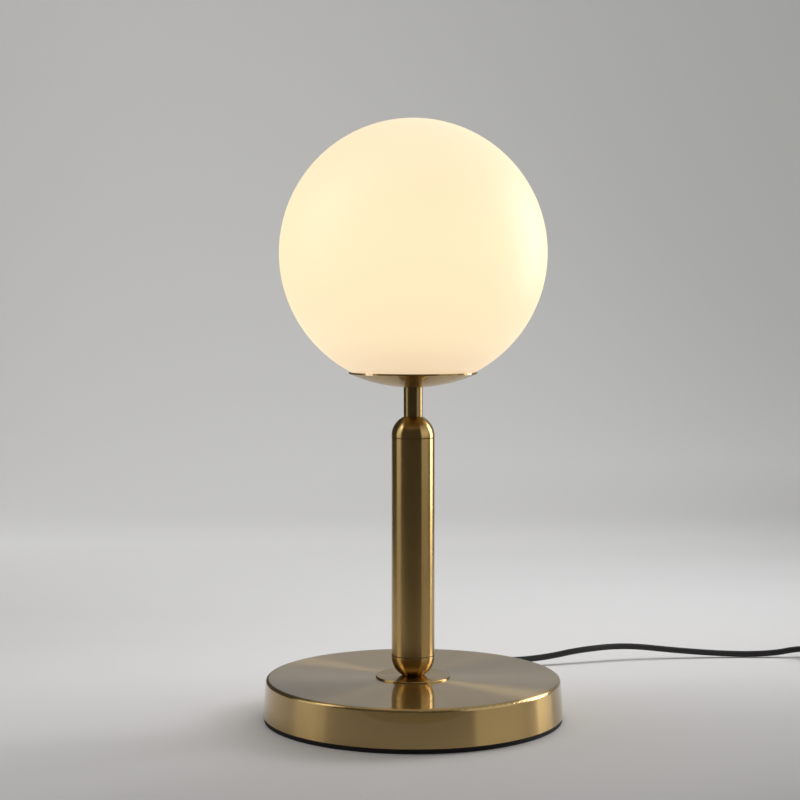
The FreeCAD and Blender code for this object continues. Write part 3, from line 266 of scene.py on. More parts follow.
def brushedBrass(name, lacquer, tone=1.0, roughness=None, discRoughness=None, seed=0.0,
                 seams=False):
    setup = brassSetup
    # a tone below 1 makes a darker copy of the brass: painted shade
    reflection = [c * tone for c in setup["reflection"][:3]] + [1]
    worn = [c * tone for c in setup["worn"][:3]] + [1]
    material, tree, shader = startMaterial(
        name, metallic=1.0, anisotropic=setup["stretch"], anisotropic_rotation=0.25,
        coat_weight=lacquer, coat_roughness=setup["lacquerRoughness"], coat_ior=1.5,
        specular_tint=setup["edgeTint"])
    lines = brushLines(tree, setup["lineSpacing"], setup["around"], seed)
    patches = grainNoise(tree, setup["patches"])
    wear = math2(tree, "MULTIPLY_ADD", lines, setup["lineTone"], -0.05)
    metal = mixColours(tree, wear, reflection, worn)
    if seams:
        metal = mixColours(tree, seamShade(tree), seamSetup["gap"], metal)
    tree.links.new(metal, shader.inputs["Base Color"])
    base = roughness or setup["roughness"]
    if discRoughness:
        normal = addNode(tree, "NewGeometry").outputs["Normal"]
        facing = addNode(tree, "SeparateXYZ", {0: normal}).outputs[2]
        flat = addNode(tree, "MapRange", {0: facing, 1: 0.5, 2: 0.95, 3: base, 4: discRoughness})
        base = flat.outputs[0]
    level = math2(tree, "MULTIPLY_ADD", lines, setup["lineGloss"], base)
    level = math2(tree, "SUBTRACT", level, 0.05)
    level = math2(tree, "MULTIPLY_ADD", patches, setup["patchGloss"], level)
    tree.links.new(level, shader.inputs["Roughness"])
    addBump(tree, shader, lines, setup["lineDepth"], 0.1)
    tangent = addNode(tree, "Tangent", direction_type="RADIAL", axis="Z")
    tree.links.new(tangent.outputs[0], shader.inputs["Tangent"])
    return material


thin = brassSetup["thinLacquer"]
dress(["base_cover"], brushedBrass("baseBrass", brassSetup["lacquer"], roughness=0.22,
                                   discRoughness=brassSetup["discRoughness"]))
dress(["base_flange", "lower_cap", "post_tube", "upper_cap"],
      brushedBrass("stemBrass", thin, seed=40.0, seams=True))
# The neck and the dish take darker copies of the stem's brass: painted shade that dims their
# reflections
dress(["neck_tube"], brushedBrass("neckBrassShaded", thin, tone=0.68, roughness=0.21, seed=80.0))
dress(["glass_holder"], brushedBrass("dishBrassShaded", thin, tone=0.95, roughness=0.26, seed=60.0))


# Opal glass, lit from inside: satin outside, warmer and dimmer near the mouth
globeSetup = {
    "glass": (0.13, 0.125, 0.115, 1),
    "roughness": 0.48,
    # height, then the light's colour: at the mouth, low on the ball, at the bulb, at the crown
    "glow": [(0.255, (0.75, 0.55, 0.36)), (0.285, (0.98, 0.78, 0.50)),
             (0.37, (1.0, 0.88, 0.55)), (0.45, (0.92, 0.72, 0.48))],
}


def opalGlass():
    setup = globeSetup
    material, tree, shader = startMaterial(
        "opalGlass", color=setup["glass"], roughness=setup["roughness"], ior=1.5)
    place = addNode(tree, "TexCoord").outputs["Object"]
    height = addNode(tree, "SeparateXYZ", {0: place}).outputs[2]
    ramp = rampBy(tree, height, setup["glow"])
    ramp.color_ramp.interpolation = "B_SPLINE"
    tree.links.new(ramp.outputs[0], shader.inputs["Emission Color"])
    shader.inputs["Emission Strength"].default_value = 1.0
    return material


dress(["glass_globe"], opalGlass())


# Moulded parts: colour, gloss, grains per metre and their depth
plasticSetup = {
    "leadSheath": ((0.007, 0.007, 0.0075), 0.50, 900.0, 0.00004),
    "sleeveRubber": ((0.011, 0.011, 0.011), 0.55, 1100.0, 0.00005),
    "switchBlack": ((0.016, 0.016, 0.017), 0.36, 2600.0, 0.00004),
    "plugBlack": ((0.014, 0.014, 0.015), 0.42, 2200.0, 0.00005),
    "clampBlack": ((0.02, 0.02, 0.02), 0.45, 1500.0, 0.00004),
    "holderBlack": ((0.022, 0.021, 0.020), 0.33, 1300.0, 0.00003),
    "bulbWhite": ((0.78, 0.77, 0.74), 0.38, 700.0, 0.00003),
    "footFoam": ((0.010, 0.010, 0.010), 0.90, 1500.0, 0.00025),
    "printWhite": ((0.72, 0.72, 0.70), 0.55, 3000.0, 0.00001),
}
# and how much all of them vary: clouds in grains, tones, spread of the gloss
plasticSpread = {"cloud": 20, "light": 1.25, "dark": 0.8, "gloss": 0.15, "glossBelow": 0.07}


def mouldedPlastic(name):
    colour, gloss, grain, depth = plasticSetup[name]
    spread = plasticSpread
    material, tree, shader = startMaterial(name)
    noise = grainNoise(tree, grain)
    cloud = grainNoise(tree, grain / spread["cloud"], 1.0)
    light, dark = ([channel * spread[tone] for channel in colour] + [1]
                   for tone in ("light", "dark"))
    tree.links.new(mixColours(tree, cloud, dark, light), shader.inputs["Base Color"])
    level = math2(tree, "MULTIPLY_ADD", noise, spread["gloss"], gloss - spread["glossBelow"])
    tree.links.new(level, shader.inputs["Roughness"])
    addBump(tree, shader, noise, depth)
    return material


# Plain metals: two tones, roughness, lines per metre that the tool or the rolls have left, and
# the axis that they run along
metalSetup = {
    "fixingSteel": ((0.42, 0.43, 0.45), (0.56, 0.57, 0.58), 0.34, 2500.0, "Z"),
    "rodZinc": ((0.46, 0.47, 0.50), (0.60, 0.61, 0.63), 0.30, 1000.0, "Z"),
    "springSteel": ((0.34, 0.34, 0.35), (0.46, 0.46, 0.47), 0.28, 1400.0, "X"),
    "contactBrass": ((0.60, 0.44, 0.19), (0.70, 0.54, 0.28), 0.30, 1800.0, "X"),
    "pinNickel": ((0.55, 0.54, 0.52), (0.66, 0.65, 0.62), 0.24, 2200.0, "Y"),
    "capAluminium": ((0.62, 0.62, 0.63), (0.74, 0.74, 0.75), 0.32, 1600.0, "Z"),
}
lineStretch = {"X": (1, 30, 30), "Y": (30, 1, 30), "Z": (1, 1, 60)}
metalWear = {"tarnish": 120.0, "lineGloss": 0.14, "tarnishGloss": 0.08, "glossBelow": 0.10,
             "lineDepth": 0.00002}


def drawnMetal(name):
    dark, light, roughness, lines, axis = metalSetup[name]
    material, tree, shader = startMaterial(name, metallic=1.0)
    place = addNode(tree, "TexCoord").outputs["Object"]
    squeezed = addNode(tree, "Mapping", {"Vector": place, "Scale": lineStretch[axis]}).outputs[0]
    marks = addNode(tree, "TexNoise", {"Vector": squeezed, "Scale": lines / 30, "Detail": 3.0})
    marks = marks.outputs[0]
    tarnish = grainNoise(tree, metalWear["tarnish"])
    tree.links.new(mixColours(tree, tarnish, (*dark, 1), (*light, 1)), shader.inputs["Base Color"])
    smooth = roughness - metalWear["glossBelow"]
    level = math2(tree, "MULTIPLY_ADD", marks, metalWear["lineGloss"], smooth)
    level = math2(tree, "MULTIPLY_ADD", tarnish, metalWear["tarnishGloss"], level)
    tree.links.new(level, shader.inputs["Roughness"])
    addBump(tree, shader, marks, metalWear["lineDepth"], 0.3)
    return material


# The base's weight: sand-cast and painted grey
ironSetup = {"dark": (0.035, 0.036, 0.038, 1), "light": (0.085, 0.083, 0.08, 1), "sand": 900.0,
             "lumps": 160.0, "depth": 0.0003}


def castIron():
    setup = ironSetup
    material, tree, shader = startMaterial("castIron", metallic=0.3)
    sand = grainNoise(tree, setup["sand"], 4.0)
    lumps = grainNoise(tree, setup["lumps"])
    paint = mixColours(tree, sand, setup["dark"], setup["light"])
    tree.links.new(paint, shader.inputs["Base Color"])
    tree.links.new(math2(tree, "MULTIPLY_ADD", sand, 0.25, 0.58), shader.inputs["Roughness"])
    addBump(tree, shader, math2(tree, "MULTIPLY_ADD", lumps, 2.0, sand), setup["depth"], 0.5)
    return material


# The lampholder's insert: off-white, with the glaze's faint specks
ceramicSetup = {"glaze": (0.76, 0.74, 0.69, 1), "speck": (0.42, 0.38, 0.32, 1), "specks": 1600.0,
                "speckFrom": 0.66, "speckTo": 0.72, "waves": 300.0, "depth": 0.00005}


def glazedCeramic():
    setup = ceramicSetup
    material, tree, shader = startMaterial(
        "glazedCeramic", roughness=0.3, coat_weight=0.4, coat_roughness=0.1)
    noise = grainNoise(tree, setup["specks"])
    specks = addNode(tree, "MapRange", {0: noise, 1: setup["speckFrom"], 2: setup["speckTo"]})
    tone = mixColours(tree, specks.outputs[0], setup["glaze"], setup["speck"])
    tree.links.new(tone, shader.inputs["Base Color"])
    addBump(tree, shader, grainNoise(tree, setup["waves"]), setup["depth"], 0.3)
    return material


# Small clear pads on the dish's rim, with a painted glow that stands in for the globe's light they
# pick up
padSetup = {"colour": (0.90, 0.84, 0.70, 1), "glow": (1.0, 0.80, 0.52, 1), "paintedGlowStrength": 0.30,
            "haze": 700.0, "depth": 0.00003}


def clearPad():
    # the emission on the pads is painted light from the globe
    material, tree, shader = startMaterial(
        "clearPad", color=padSetup["colour"], ior=1.45, transmission_weight=0.45,
        emission_color=padSetup["glow"], emission_strength=padSetup["paintedGlowStrength"])
    haze = grainNoise(tree, padSetup["haze"])
    tree.links.new(math2(tree, "MULTIPLY_ADD", haze, 0.2, 0.18), shader.inputs["Roughness"])
    addBump(tree, shader, haze, padSetup["depth"], 0.3)
    return material


# The lit half of the bulb: brightest at its crown
bulbSetup = {"frost": (0.80, 0.79, 0.76, 1), "warm": (1.0, 0.80, 0.52, 1), "strengthLow": 0.75,
             "strengthHigh": 1.6, "grain": 2500.0, "depth": 0.00003}


def bulbFrost():
    setup = bulbSetup
    material, tree, shader = startMaterial("bulbFrost", color=setup["frost"], roughness=0.55,
                                           emission_color=setup["warm"])
    low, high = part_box("bulb_diffuser")
    place = addNode(tree, "TexCoord").outputs["Object"]
    height = addNode(tree, "SeparateXYZ", {0: place}).outputs[2]
    glow = addNode(tree, "MapRange", {0: height, 1: low[2], 2: high[2], 3: setup["strengthLow"],
                                      4: setup["strengthHigh"]}).outputs[0]
    tree.links.new(glow, shader.inputs["Emission Strength"])
    addBump(tree, shader, grainNoise(tree, setup["grain"]), setup["depth"], 0.3)
    return material


# Hook-and-loop strap round the coil
tieSetup = {"thread": 0.0005, "dark": (0.008, 0.008, 0.009, 1), "light": (0.035, 0.035, 0.037, 1),
            "fuzz": 2600.0, "depth": 0.0003}


def tieFabric():
    setup = tieSetup
    material, tree, shader = startMaterial("tieFabric", roughness=0.88, sheen_weight=0.25)
    place = addNode(tree, "TexCoord").outputs["Object"]
    x, y, z = addNode(tree, "SeparateXYZ", {0: place}).outputs
    turns = 2 * math.pi / setup["thread"]
    warp = math2(tree, "SINE", math2(tree, "MULTIPLY", math2(tree, "ADD", x, z), turns))
    weft = math2(tree, "SINE", math2(tree, "MULTIPLY", y, turns))
    weave = math2(tree, "MULTIPLY_ADD", math2(tree, "MULTIPLY", warp, weft), 0.5, 0.5)
    fuzz = grainNoise(tree, setup["fuzz"], 3.0)
    height = math2(tree, "MULTIPLY_ADD", fuzz, 0.6, weave)
    tone = mixColours(tree, math2(tree, "MULTIPLY", weave, fuzz), setup["dark"], setup["light"])
    tree.links.new(tone, shader.inputs["Base Color"])
    addBump(tree, shader, height, setup["depth"], 0.7)
    return material


plastics = {name: mouldedPlastic(name) for name in plasticSetup}
metals = {name: drawnMetal(name) for name in metalSetup}
for piece in (lampLead, switchLead):
    piece.data.materials.append(plastics["leadSheath"])
dress(["inner_lead"], plastics["leadSheath"])
dress(["switch_base", "switch_cover", "switch_rocker"], plastics["switchBlack"])
dress(["plug_body"], plastics["plugBlack"])
dress(["lead_clamp"], plastics["clampBlack"])
dress(["holder_cap", "holder_shell"], plastics["holderBlack"])
dress(["bulb_housing"], plastics["bulbWhite"])
dress(["foot_pad"], plastics["footFoam"])
dress(["rod_washer", "rod_nut", "holder_nut", "clamp_screws", "switch_screws"],
      metals["fixingSteel"])
dress(["threaded_rod"], metals["rodZinc"])
dress(["globe_spring"], metals["springSteel"])
dress(["holder_contact", "holder_liner", "bulb_contact", "switch_contacts"], metals["contactBrass"])
dress(["plug_pins"], metals["pinNickel"])
dress(["base_weight"], castIron())
dress(["holder_insert"], glazedCeramic())
dress(["rim_pads"], clearPad())
dress(["bulb_diffuser"], bulbFrost())
dress(["coil_tie"], tieFabric())
print("CAD nodes dressed")


def addPiece(name, vertices, faces, body, material):
    mesh = bpy.data.meshes.new(name)
    mesh.from_pydata([Vector(v) / perMetre for v in vertices], [], faces)
    mesh.shade_smooth()
    mesh.materials.append(material)
    piece = bpy.data.objects.new(name, mesh)
    bpy.context.scene.collection.objects.link(piece)
    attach(piece, body)
    return piece


def turned(profile, steps, place, wave=None, closed=False):
    # a profile of (along, radius) turned round an axis; wave changes the radius by angle
    vertices, faces = [], []
    for along, radius in profile:
        for step in range(steps):
            angle = 2 * math.pi * step / steps
            reach = radius + (wave(along, angle) if wave else 0)
            vertices.append(place(along, reach * math.cos(angle), reach * math.sin(angle)))
    rows = len(profile)
    for row in range(rows if closed else rows - 1):
        after = (row + 1) % rows
        for step in range(steps):
            beside = (step + 1) % steps
            faces.append((row * steps + step, row * steps + beside,
                          after * steps + beside, after * steps + step))
    if not closed:
        faces.append(tuple(reversed(range(steps))))
        faces.append(tuple(range((rows - 1) * steps, rows * steps)))
    return vertices, faces


# Bulb cap with its rolled E27 thread, millimetres
threadSetup = {"bottom": 289.7, "top": 313.7, "foot": 9.0, "footInset": 0.6, "footHeight": 0.3,
               "radius": 13.2, "shoulder": 2.1, "pitch": 3.63, "depth": 0.75, "threadTop": 310.0,
               "fade": 1.2, "steps": 72, "rows": 80}


def bulbThread():
    setup = threadSetup
    start = setup["bottom"] + setup["shoulder"]

    def wave(along, angle):
        into = min(along - start, setup["threadTop"] - along) / setup["fade"]
        if into <= 0:
            return 0
        turn = (along - start) / setup["pitch"] - angle / (2 * math.pi)
        return -setup["depth"] / 2 * (1 - math.cos(2 * math.pi * turn)) * min(into, 1)

    profile = [(setup["bottom"], setup["foot"] - setup["footInset"]),
               (setup["bottom"] + setup["footHeight"], setup["foot"])]
    height, rows = setup["top"] - start, setup["rows"]
    profile += [(start + height * row / rows, setup["radius"]) for row in range(rows + 1)]
    vertices, faces = turned(profile, setup["steps"], lambda along, a, b: (a, b, along), wave)
    return addPiece("bulbThread", vertices, faces, "bulb",
                    metals["capAluminium"])


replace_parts(bulbThread(), "bulb_cap")

# Grip ribs round the lampholder, proud of the shell
ribSetup = {"bottom": 274.5, "top": 301.0, "inside": 19.6, "valley": 20.05, "height": 0.55,
            "slope": 0.5, "plain": 0.9, "fullness": 0.6, "ribs": 36, "perRib": 8}


def holderRibs():
    setup = ribSetup

    def wave(along, angle):
        inner = along in (setup["bottom"], setup["top"])
        crest = max(0, math.cos(angle * setup["ribs"])) ** setup["fullness"]
        return 0 if inner else setup["height"] * crest

    bottom, top, valley = setup["bottom"], setup["top"], setup["valley"]
    slope, plain = setup["slope"], setup["plain"]
    profile = [(bottom, setup["inside"]), (bottom + slope, valley), (bottom + plain, valley),
               (top - plain, valley), (top - slope, valley), (top, setup["inside"])]
    vertices, faces = turned(profile, setup["ribs"] * setup["perRib"],
                             lambda along, a, b: (a, b, along), wave, closed=True)
    return addPiece("holderRibs", vertices, faces, "lamp",
                    plastics["holderBlack"])


holderRibs()

# Tapered, ringed sleeve where the lead leaves the base: along its axis from the skirt, and radius
reliefSetup = {"start": 113.04, "inside": -2.0, "end": 20.0, "height": 9.5, "collar": 5.2,
               "collarLength": 2.4, "round": 0.4, "roundBack": 0.5, "roundFoot": 0.1, "wide": 4.6,
               "tip": 3.4, "bore": 2.7, "rings": 6, "groove": 0.75, "steps": 48}
ringShape = {"rows": 8, "fullness": 1.5}   # of one ring


def ringedProfile(setup):
    # rings that get smaller towards the tip, each with its rounded crest
    profile = []
    length = setup["end"] - setup["collarLength"]
    rows = setup["rings"] * ringShape["rows"]
    for row in range(rows + 1):
        share = row / rows
        crest = setup["wide"] + (setup["tip"] - setup["wide"]) * share
        dip = 0.5 - 0.5 * math.cos(2 * math.pi * share * setup["rings"])
        groove = setup["groove"] * (1 - dip) ** ringShape["fullness"]
        profile.append((setup["collarLength"] + length * share, crest - groove))
    return profile


def reliefSleeve():
    setup = reliefSetup
    inside, collar, length = setup["inside"], setup["collar"], setup["collarLength"]
    profile = [(inside, setup["bore"]), (inside, setup["tip"]), (0.0, setup["tip"]),
               (0.0, collar - setup["round"]), (setup["round"], collar),
               (length - setup["roundBack"], collar),
               (length - setup["roundFoot"], collar - setup["round"])]
    profile += ringedProfile(setup) + [(setup["end"], setup["bore"])]
    vertices, faces = turned(
        profile, setup["steps"],
        lambda along, a, b: (b, setup["start"] + along, setup["height"] + a), closed=True)
    return addPiece("reliefSleeve", vertices, faces, "lamp",
                    plastics["sleeveRubber"])


relief = reliefSleeve()
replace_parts(relief, "strain_relief")

# Soft collars where the lead goes into the switch, and the ringed boot of the plug
grommetSetup = {"inside": -0.6, "end": 5.5, "collar": 4.6, "collarLength": 1.2, "wide": 4.0,
                "tip": 3.1, "bore": 2.62, "rings": 2, "groove": 0.5, "steps": 40}
bootSetup = {"fromBack": 14.6, "inside": 0.2, "end": 13.0, "collar": 4.75, "collarLength": 0.9,
             "wide": 4.95, "tip": 4.3, "bore": 3.6, "rings": 5, "groove": 0.6, "steps": 44}


def ringedSleeve(name, setup, place, material):
    profile = [(setup["inside"], setup["bore"]), (setup["inside"], setup["collar"]),
               (setup["collarLength"], setup["collar"])]
    profile += ringedProfile(setup) + [(setup["end"], setup["bore"])]
    vertices, faces = turned(profile, setup["steps"], place, closed=True)
    return addPiece(name, vertices, faces, "lamp", material)


switchLow, switchHigh = [Vector(corner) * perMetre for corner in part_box("switch_base")]
plugLow, plugHigh = [Vector(corner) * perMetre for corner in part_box("plug_body")]
leadMiddle = (switchLow.y + switchHigh.y) / 2
plugMiddle = (plugLow.x + plugHigh.x) / 2
plugCentre = (plugLow.z + plugHigh.z) / 2
grommets = [
    ringedSleeve("grommetIn", grommetSetup,
                 lambda along, a, b: (switchLow.x - along, leadMiddle + a, switchHigh.z + b),
                 plastics["sleeveRubber"]),
    ringedSleeve("grommetOut", grommetSetup,
                 lambda along, a, b: (switchHigh.x + along, leadMiddle + b, switchHigh.z + a),
                 plastics["sleeveRubber"]),
]
bootStart = plugHigh.y - bootSetup["fromBack"]
plugBoot = ringedSleeve("plugBoot", bootSetup,
                        lambda along, a, b: (plugMiddle + b, bootStart + along, plugCentre + a),
                        plastics["plugBlack"])

# Insulating sleeves on the first half of the pins
pinSleeveSetup = {"length": 10.0, "radius": 2.08, "bore": 1.9, "round": 0.25, "roundDepth": 0.1,
                  "spacing": 19.0, "steps": 32}


def pinSleeve(name, x):
    setup = pinSleeveSetup
    front, back = plugLow.y - setup["length"], plugLow.y
    bore, radius = setup["bore"], setup["radius"]
    profile = [(back, bore), (back, radius), (front + setup["round"], radius),
               (front, radius - setup["roundDepth"]), (front, bore)]
    vertices, faces = turned(profile, setup["steps"],
                             lambda along, a, b: (x + a, along, plugCentre + b), closed=True)
    return addPiece(name, vertices, faces, "lamp", plastics["plugBlack"])


sleeves = [pinSleeve("pinSleeve" + name, plugMiddle + side * pinSleeveSetup["spacing"] / 2)
           for name, side in (("Left", -1), ("Right", 1))]


def onSurface(node, x, y):
    # height of the node's upper surface at a place, millimetres, found from 1 m above
    mesh = nodes[node].data
    tree = BVHTree.FromPolygons([vertex.co for vertex in mesh.vertices],
                                [tuple(face.vertices) for face in mesh.polygons])
    hit = tree.ray_cast(Vector((x / perMetre, y / perMetre, 1.0)), Vector((0, 0, -1)))[0]
    return hit.z * perMetre


sunk = -0.2   # where a raised mark or bar starts, under the surface, millimetres


def raisedStrip(name, node, inner, outer, thick, body, material):
    # a thin flat strip between two closed outlines, laid on a node's surface
    count = len(inner)
    vertices, faces = [], []
    for lift in (thick, sunk):
        for outline in (inner, outer):
            vertices += [(x, y, onSurface(node, x, y) + lift) for x, y in outline]
    for i in range(count):
        j = (i + 1) % count
        faces.append((i, j, count + j, count + i))
        faces.append((2 * count + j, 2 * count + i, 3 * count + i, 3 * count + j))
        faces.append((j, i, 2 * count + i, 2 * count + j))
        faces.append((count + i, count + j, 3 * count + j, 3 * count + i))
    return addPiece(name, vertices, faces, body, material)


# ON and OFF signs printed on the rocker: a bar and a ring
markSetup = {"onX": 391.0, "offX": 379.0, "barWidth": 0.7, "barLength": 4.2, "barCore": 0.02,
             "ringRadius": 2.0, "line": 0.65, "thick": 0.06, "steps": 32}


def ringPoints(x, y, radius, steps):
    angles = [2 * math.pi * i / steps for i in range(steps)]
    return [(x + radius * math.cos(angle), y + radius * math.sin(angle)) for angle in angles]


def barPoints(x, y, halfWidth, halfLength, steps):
    # the same count of points as a ring, pressed into a bar with round ends
    points = []
    for i in range(steps):
        angle = 2 * math.pi * i / steps
        side = halfLength - halfWidth if math.sin(angle) > 0 else halfWidth - halfLength
        points.append((x + halfWidth * math.cos(angle), y + halfWidth * math.sin(angle) + side))
    return points


def switchMarks():
    setup = markSetup
    steps = setup["steps"]
    halfWidth, halfLength = setup["barWidth"] / 2, setup["barLength"] / 2
    ring = [ringPoints(setup["offX"], leadMiddle, setup["ringRadius"] - reach, steps)
            for reach in (setup["line"], 0)]
    bar = [barPoints(setup["onX"], leadMiddle, halfWidth - reach, halfLength - reach, steps)
           for reach in (halfWidth - setup["barCore"], 0)]
    for name, (inner, outer) in (("offMark", ring), ("onMark", bar)):
        raisedStrip(name, "switch_rocker", inner, outer, setup["thick"], "rocker",
                    plastics["printWhite"])


switchMarks()

# Grip bars moulded across the top of the plug
gripSetup = {"from": 83.0, "step": 3.2, "bars": 5, "halfLength": 8.0, "halfWidth": 0.8,
             "edge": 0.05, "crest": 0.55, "thick": 0.45, "steps": 24}


def plugGrips():
    setup = gripSetup
    steps = setup["steps"]
    vertices, faces = [], []
    for bar in range(setup["bars"]):
        y = setup["from"] + bar * setup["step"]
        # each bar: two foot outlines and a smaller crest outline, as share of the width and lift
        outlines = [(1.0, sunk), (1.0, setup["edge"]), (setup["crest"], setup["thick"])]
        first = len(vertices)
        for share, lift in outlines:
            half = setup["halfWidth"] * share
            reach = setup["halfLength"] - setup["halfWidth"] + half
            points = barPoints(y, plugMiddle, half, reach, steps)
            vertices += [(px, py, onSurface("plug_body", px, py) + lift) for py, px in points]
        for row in range(2):
            for i in range(steps):
                j = (i + 1) % steps
                low = first + row * steps
                faces.append((low + j, low + i, low + steps + i, low + steps + j))
        faces.append(tuple(reversed(range(first + 2 * steps, first + 3 * steps))))
        faces.append(tuple(range(first, first + steps)))
    return addPiece("plugGrips", vertices, faces, "lamp", plastics["plugBlack"])


grips = plugGrips()

print("small pieces made")


# Stage: pale paper running up into a wall well behind the lamp. The paper's colour is made paler
# and darker from place to place, painted light and shade: the key stands on the right and the shade
# on the paper behind it is painted in. By distance behind the lamp: the painted light and shade in
# the paper's colour, and (with height added) the light added as it is seen
stageSetup = {
    "colour": (1.0, 1.0, 1.0125, 1),
    "floorEnd": 1.3, "bend": 1.2, "front": -7.0, "side": 7.0, "top": 5.0, "steps": 24,
    "joints": (-1.0, 0.0),   # seams across the floor
    # painted light and shade in the paper's colour, by distance behind the lamp
    "paperLeft": [(-0.2, 0.9), (0.3, 0.72), (1.4, 0.85)],
    "paperRight": [(-0.3, 0.7), (0.15, 0.9), (0.9, 0.55)],
    "glowLeft": [(0.45, 0.0), (1.0, 0.2)],
    "glowRight": [(0.7, 0.0), (1.7, 0.25)],
    "glowTint": (0.99, 1.0, 0.965, 1),
    "changeover": 0.6,   # left turns into right between minus this and plus this
    # paper outside the photo's view
    "farFrom": 0.3, "farSide": 0.95, "farTo": 1.2, "farGlow": 0.47,
}


def seenDirectly(tree):
    # camera, glossy and transmitted rays: the rays that show the backdrop itself
    path = addNode(tree, "LightPath")
    seen = math2(tree, "MAXIMUM", path.outputs["Is Camera Ray"], path.outputs["Is Glossy Ray"])
    return math2(tree, "MAXIMUM", seen, path.outputs["Is Transmission Ray"])


def sweepPaint():
    setup = stageSetup
    material, tree, shader = startMaterial("sweepPaint", roughness=1.0, specular=0.0)
    place = addNode(tree, "TexCoord").outputs["Object"]
    x, y, z = addNode(tree, "SeparateXYZ", {0: place}).outputs
    turn = setup["changeover"]
    share = addNode(tree, "MapRange", {0: x, 1: -turn, 2: turn}).outputs[0]
    # the paper's colour, made paler and darker: painted light and shade
    paper = [rampBy(tree, y, setup["paper" + side]).outputs[0] for side in ("Left", "Right")]
    tone = mixColours(tree, share, *paper)
    tone = mixColours(tree, tone, (0, 0, 0, 1), setup["colour"])
    tree.links.new(tone, shader.inputs["Base Color"])
    along = math2(tree, "ADD", y, z)
    glows = [rampBy(tree, along, setup["glow" + side]).outputs[0] for side in ("Left", "Right")]
    glow = math2(tree, "MULTIPLY", mixColours(tree, share, *glows), seenDirectly(tree))
    side = math2(tree, "ABSOLUTE", x)
    aside = addNode(tree, "MapRange", {0: side, 1: setup["farSide"], 2: setup["farTo"]})
    ahead = addNode(tree, "MapRange", {0: y, 1: -setup["farFrom"], 2: -setup["farTo"]})
    far = math2(tree, "MAXIMUM", aside.outputs[0], ahead.outputs[0])
    far = math2(tree, "MULTIPLY", far, addNode(tree, "LightPath").outputs["Is Camera Ray"])
    glow = math2(tree, "MAXIMUM", glow, math2(tree, "MULTIPLY", far, setup["farGlow"]))
    shader.inputs["Emission Color"].default_value = setup["glowTint"]
    tree.links.new(glow, shader.inputs["Emission Strength"])
    return material


def addStage():
    setup = stageSetup
    places = (setup["front"], *setup["joints"], setup["floorEnd"])
    outline = [(place, 0.0) for place in places]
    for step in range(1, setup["steps"] + 1):
        angle = math.pi / 2 * step / setup["steps"]
        outline.append((setup["floorEnd"] + setup["bend"] * math.sin(angle),
                        setup["bend"] * (1 - math.cos(angle))))
    outline.append((setup["floorEnd"] + setup["bend"], setup["top"]))
    vertices = [(side, y, z) for y, z in outline for side in (-setup["side"], setup["side"])]
    faces = [(2 * i, 2 * i + 1, 2 * i + 3, 2 * i + 2) for i in range(len(outline) - 1)]
    mesh = bpy.data.meshes.new("sweep")
    mesh.from_pydata(vertices, [], faces)
    mesh.shade_smooth()
    mesh.materials.append(sweepPaint())
    sweep = bpy.data.objects.new("sweep", mesh)
    bpy.context.scene.collection.objects.link(sweep)


# Dark flags: the unlit room round the set, which only the metal mirrors, and dark sheets on the
# floor: painted shade that darkens the lit paper only where the metal mirrors it
flagSetup = {
    "tone": (0.068, 0.064, 0.055, 1),
    "spans": {"Front": (-166, -44, 3.0), "Rear": (99, 168, 3.0), "RearLow": (92, 99, 0.33)},
    "reach": 1.9,   # spans: degrees round the lamp, 0 to the right, and height
    "paperFront": -0.33, "paperSide": 0.62, "floorReach": 2.4, "lift": 0.0005, "steps": 16,
}


def addFlag(name, vertices, faces, material):
    mesh = bpy.data.meshes.new(name)
    mesh.from_pydata(vertices, [], faces)
    mesh.materials.append(material)
    flag = bpy.data.objects.new(name, mesh)
    flag.visible_camera = flag.visible_diffuse = flag.visible_transmission = False
    flag.visible_shadow = flag.visible_volume_scatter = False
    bpy.context.scene.collection.objects.link(flag)


def addFlags():
    setup = flagSetup
    steps, away, lift = setup["steps"], setup["reach"], setup["lift"]
    material = bpy.data.materials.new("unlitRoom")
    material.use_nodes = True
    tree = material.node_tree
    tree.nodes.remove(tree.nodes["Principled BSDF"])
    glow = addNode(tree, "Emission", {"Color": setup["tone"], "Strength": 1.0})
    tree.links.new(glow.outputs[0], tree.nodes["Material Output"].inputs["Surface"])
    for name, (first, last, height) in setup["spans"].items():
        vertices = []
        for step in range(steps + 1):
            angle = math.radians(first + (last - first) * step / steps)
            for z in (0.0, height):
                vertices.append((away * math.cos(angle), away * math.sin(angle), z))
        faces = [(2 * i, 2 * i + 2, 2 * i + 3, 2 * i + 1) for i in range(steps)]
        addFlag("flag" + name, vertices, faces, material)
    # painted shade on the floor in front and to the sides, seen only in the metal's reflections
    front, side, reach = setup["paperFront"], setup["paperSide"], setup["floorReach"]
    for name, (left, right, near, far) in (
            ("floorShadeFront", (-reach, reach, -reach, front)),
            ("floorShadeLeft", (-reach, -side, front, reach)),
            ("floorShadeRight", (side, reach, front, reach))):
        corners = [(left, near, lift), (right, near, lift), (right, far, lift), (left, far, lift)]
        addFlag(name, corners, [(0, 1, 2, 3)], material)


addStage()
addFlags()

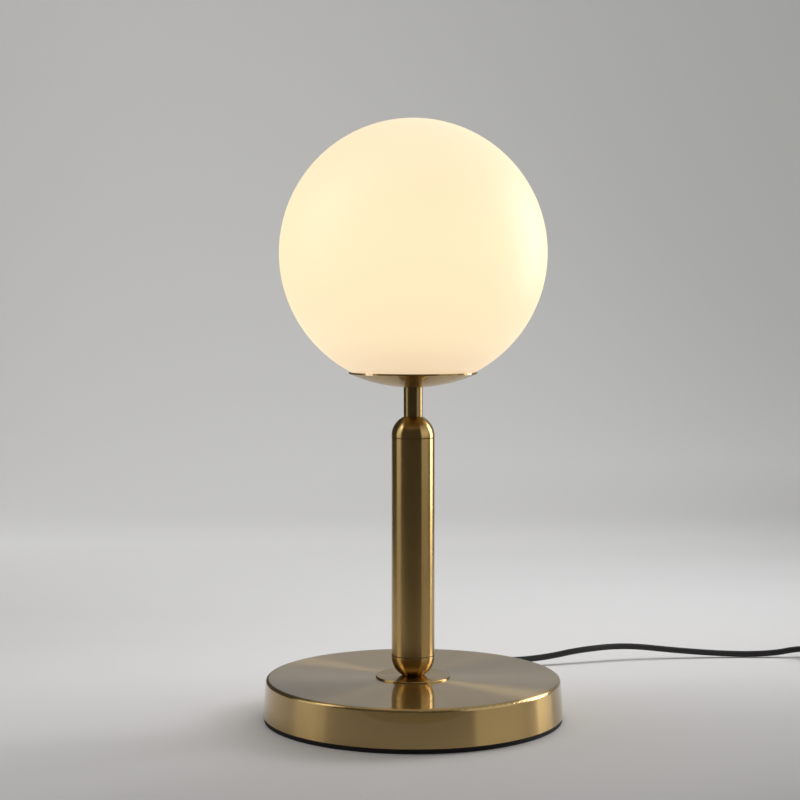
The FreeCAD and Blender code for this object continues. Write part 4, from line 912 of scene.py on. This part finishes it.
# Lamps. A lamp that isn't matt is only mirrored by gloss, one without shine only lights what is
# matt, and the others do both
lightSetup = {
    "keyShine": {"place": (1.15, 0.53, 0.46), "target": (0.0, 0.0, 0.10), "size": (0.54, 1.0),
                 "radiance": 4.9, "matt": False},
    "leftBox": {"place": (-1.59, -0.22, 0.45), "target": (0.0, 0.0, 0.25), "size": (0.86, 1.1),
                "radiance": 0.66},
    "leftHigh": {"place": (-1.25, -0.16, 1.25), "target": (0.0, 0.0, 0.25), "size": (0.50, 0.60),
                 "radiance": 2.6, "matt": False},
    "rightPanel": {"place": (1.55, -0.68, 0.5), "target": (0.0, 0.0, 0.2), "size": (1.35, 1.2),
                   "radiance": 0.43},
    "keySoft": {"place": (1.17, 0.57, 0.80), "target": (0.0, 0.0, 0.10), "size": (0.46, 0.50),
                "radiance": 8, "shine": False},
    "overRear": {"place": (0.3, 0.6, 0.9), "target": (-0.8, 1.2, 0.0), "size": (1.2, 1.0),
                 "radiance": 1.7, "shine": False},
    "overLeft": {"place": (-0.4, 0.0, 1.0), "target": (-0.8, 1.0, 0.0), "size": (0.9, 0.6),
                 "radiance": 2.5, "shine": False},
}


def addLight(name, place, target, size, radiance, shine=True, matt=True):
    data = bpy.data.lights.new(name, "AREA")
    data.shape = "RECTANGLE"
    data.size, data.size_y = size
    data.energy = radiance * size[0] * size[1] * math.pi
    light = bpy.data.objects.new(name, data)
    light.location = place
    light.rotation_euler = (Vector(target) - Vector(place)).to_track_quat("-Z", "Y").to_euler()
    light.visible_camera = False
    light.visible_glossy = shine
    light.visible_diffuse = matt
    bpy.context.scene.collection.objects.link(light)


for name, setup in lightSetup.items():
    addLight(name, **setup)

worldSetup = {"room": (0.09, 0.082, 0.07, 1), "backdrop": (0.49, 0.495, 0.48, 1)}


def setWorld():
    world = bpy.data.worlds.new("studio")
    bpy.context.scene.world = world
    world.use_nodes = True
    tree = world.node_tree
    colour = mixColours(tree, seenDirectly(tree), worldSetup["room"], worldSetup["backdrop"])
    tree.links.new(colour, tree.nodes["Background"].inputs["Color"])


setWorld()
bpy.context.scene.view_settings.view_transform = "Standard"
print("stage lit")
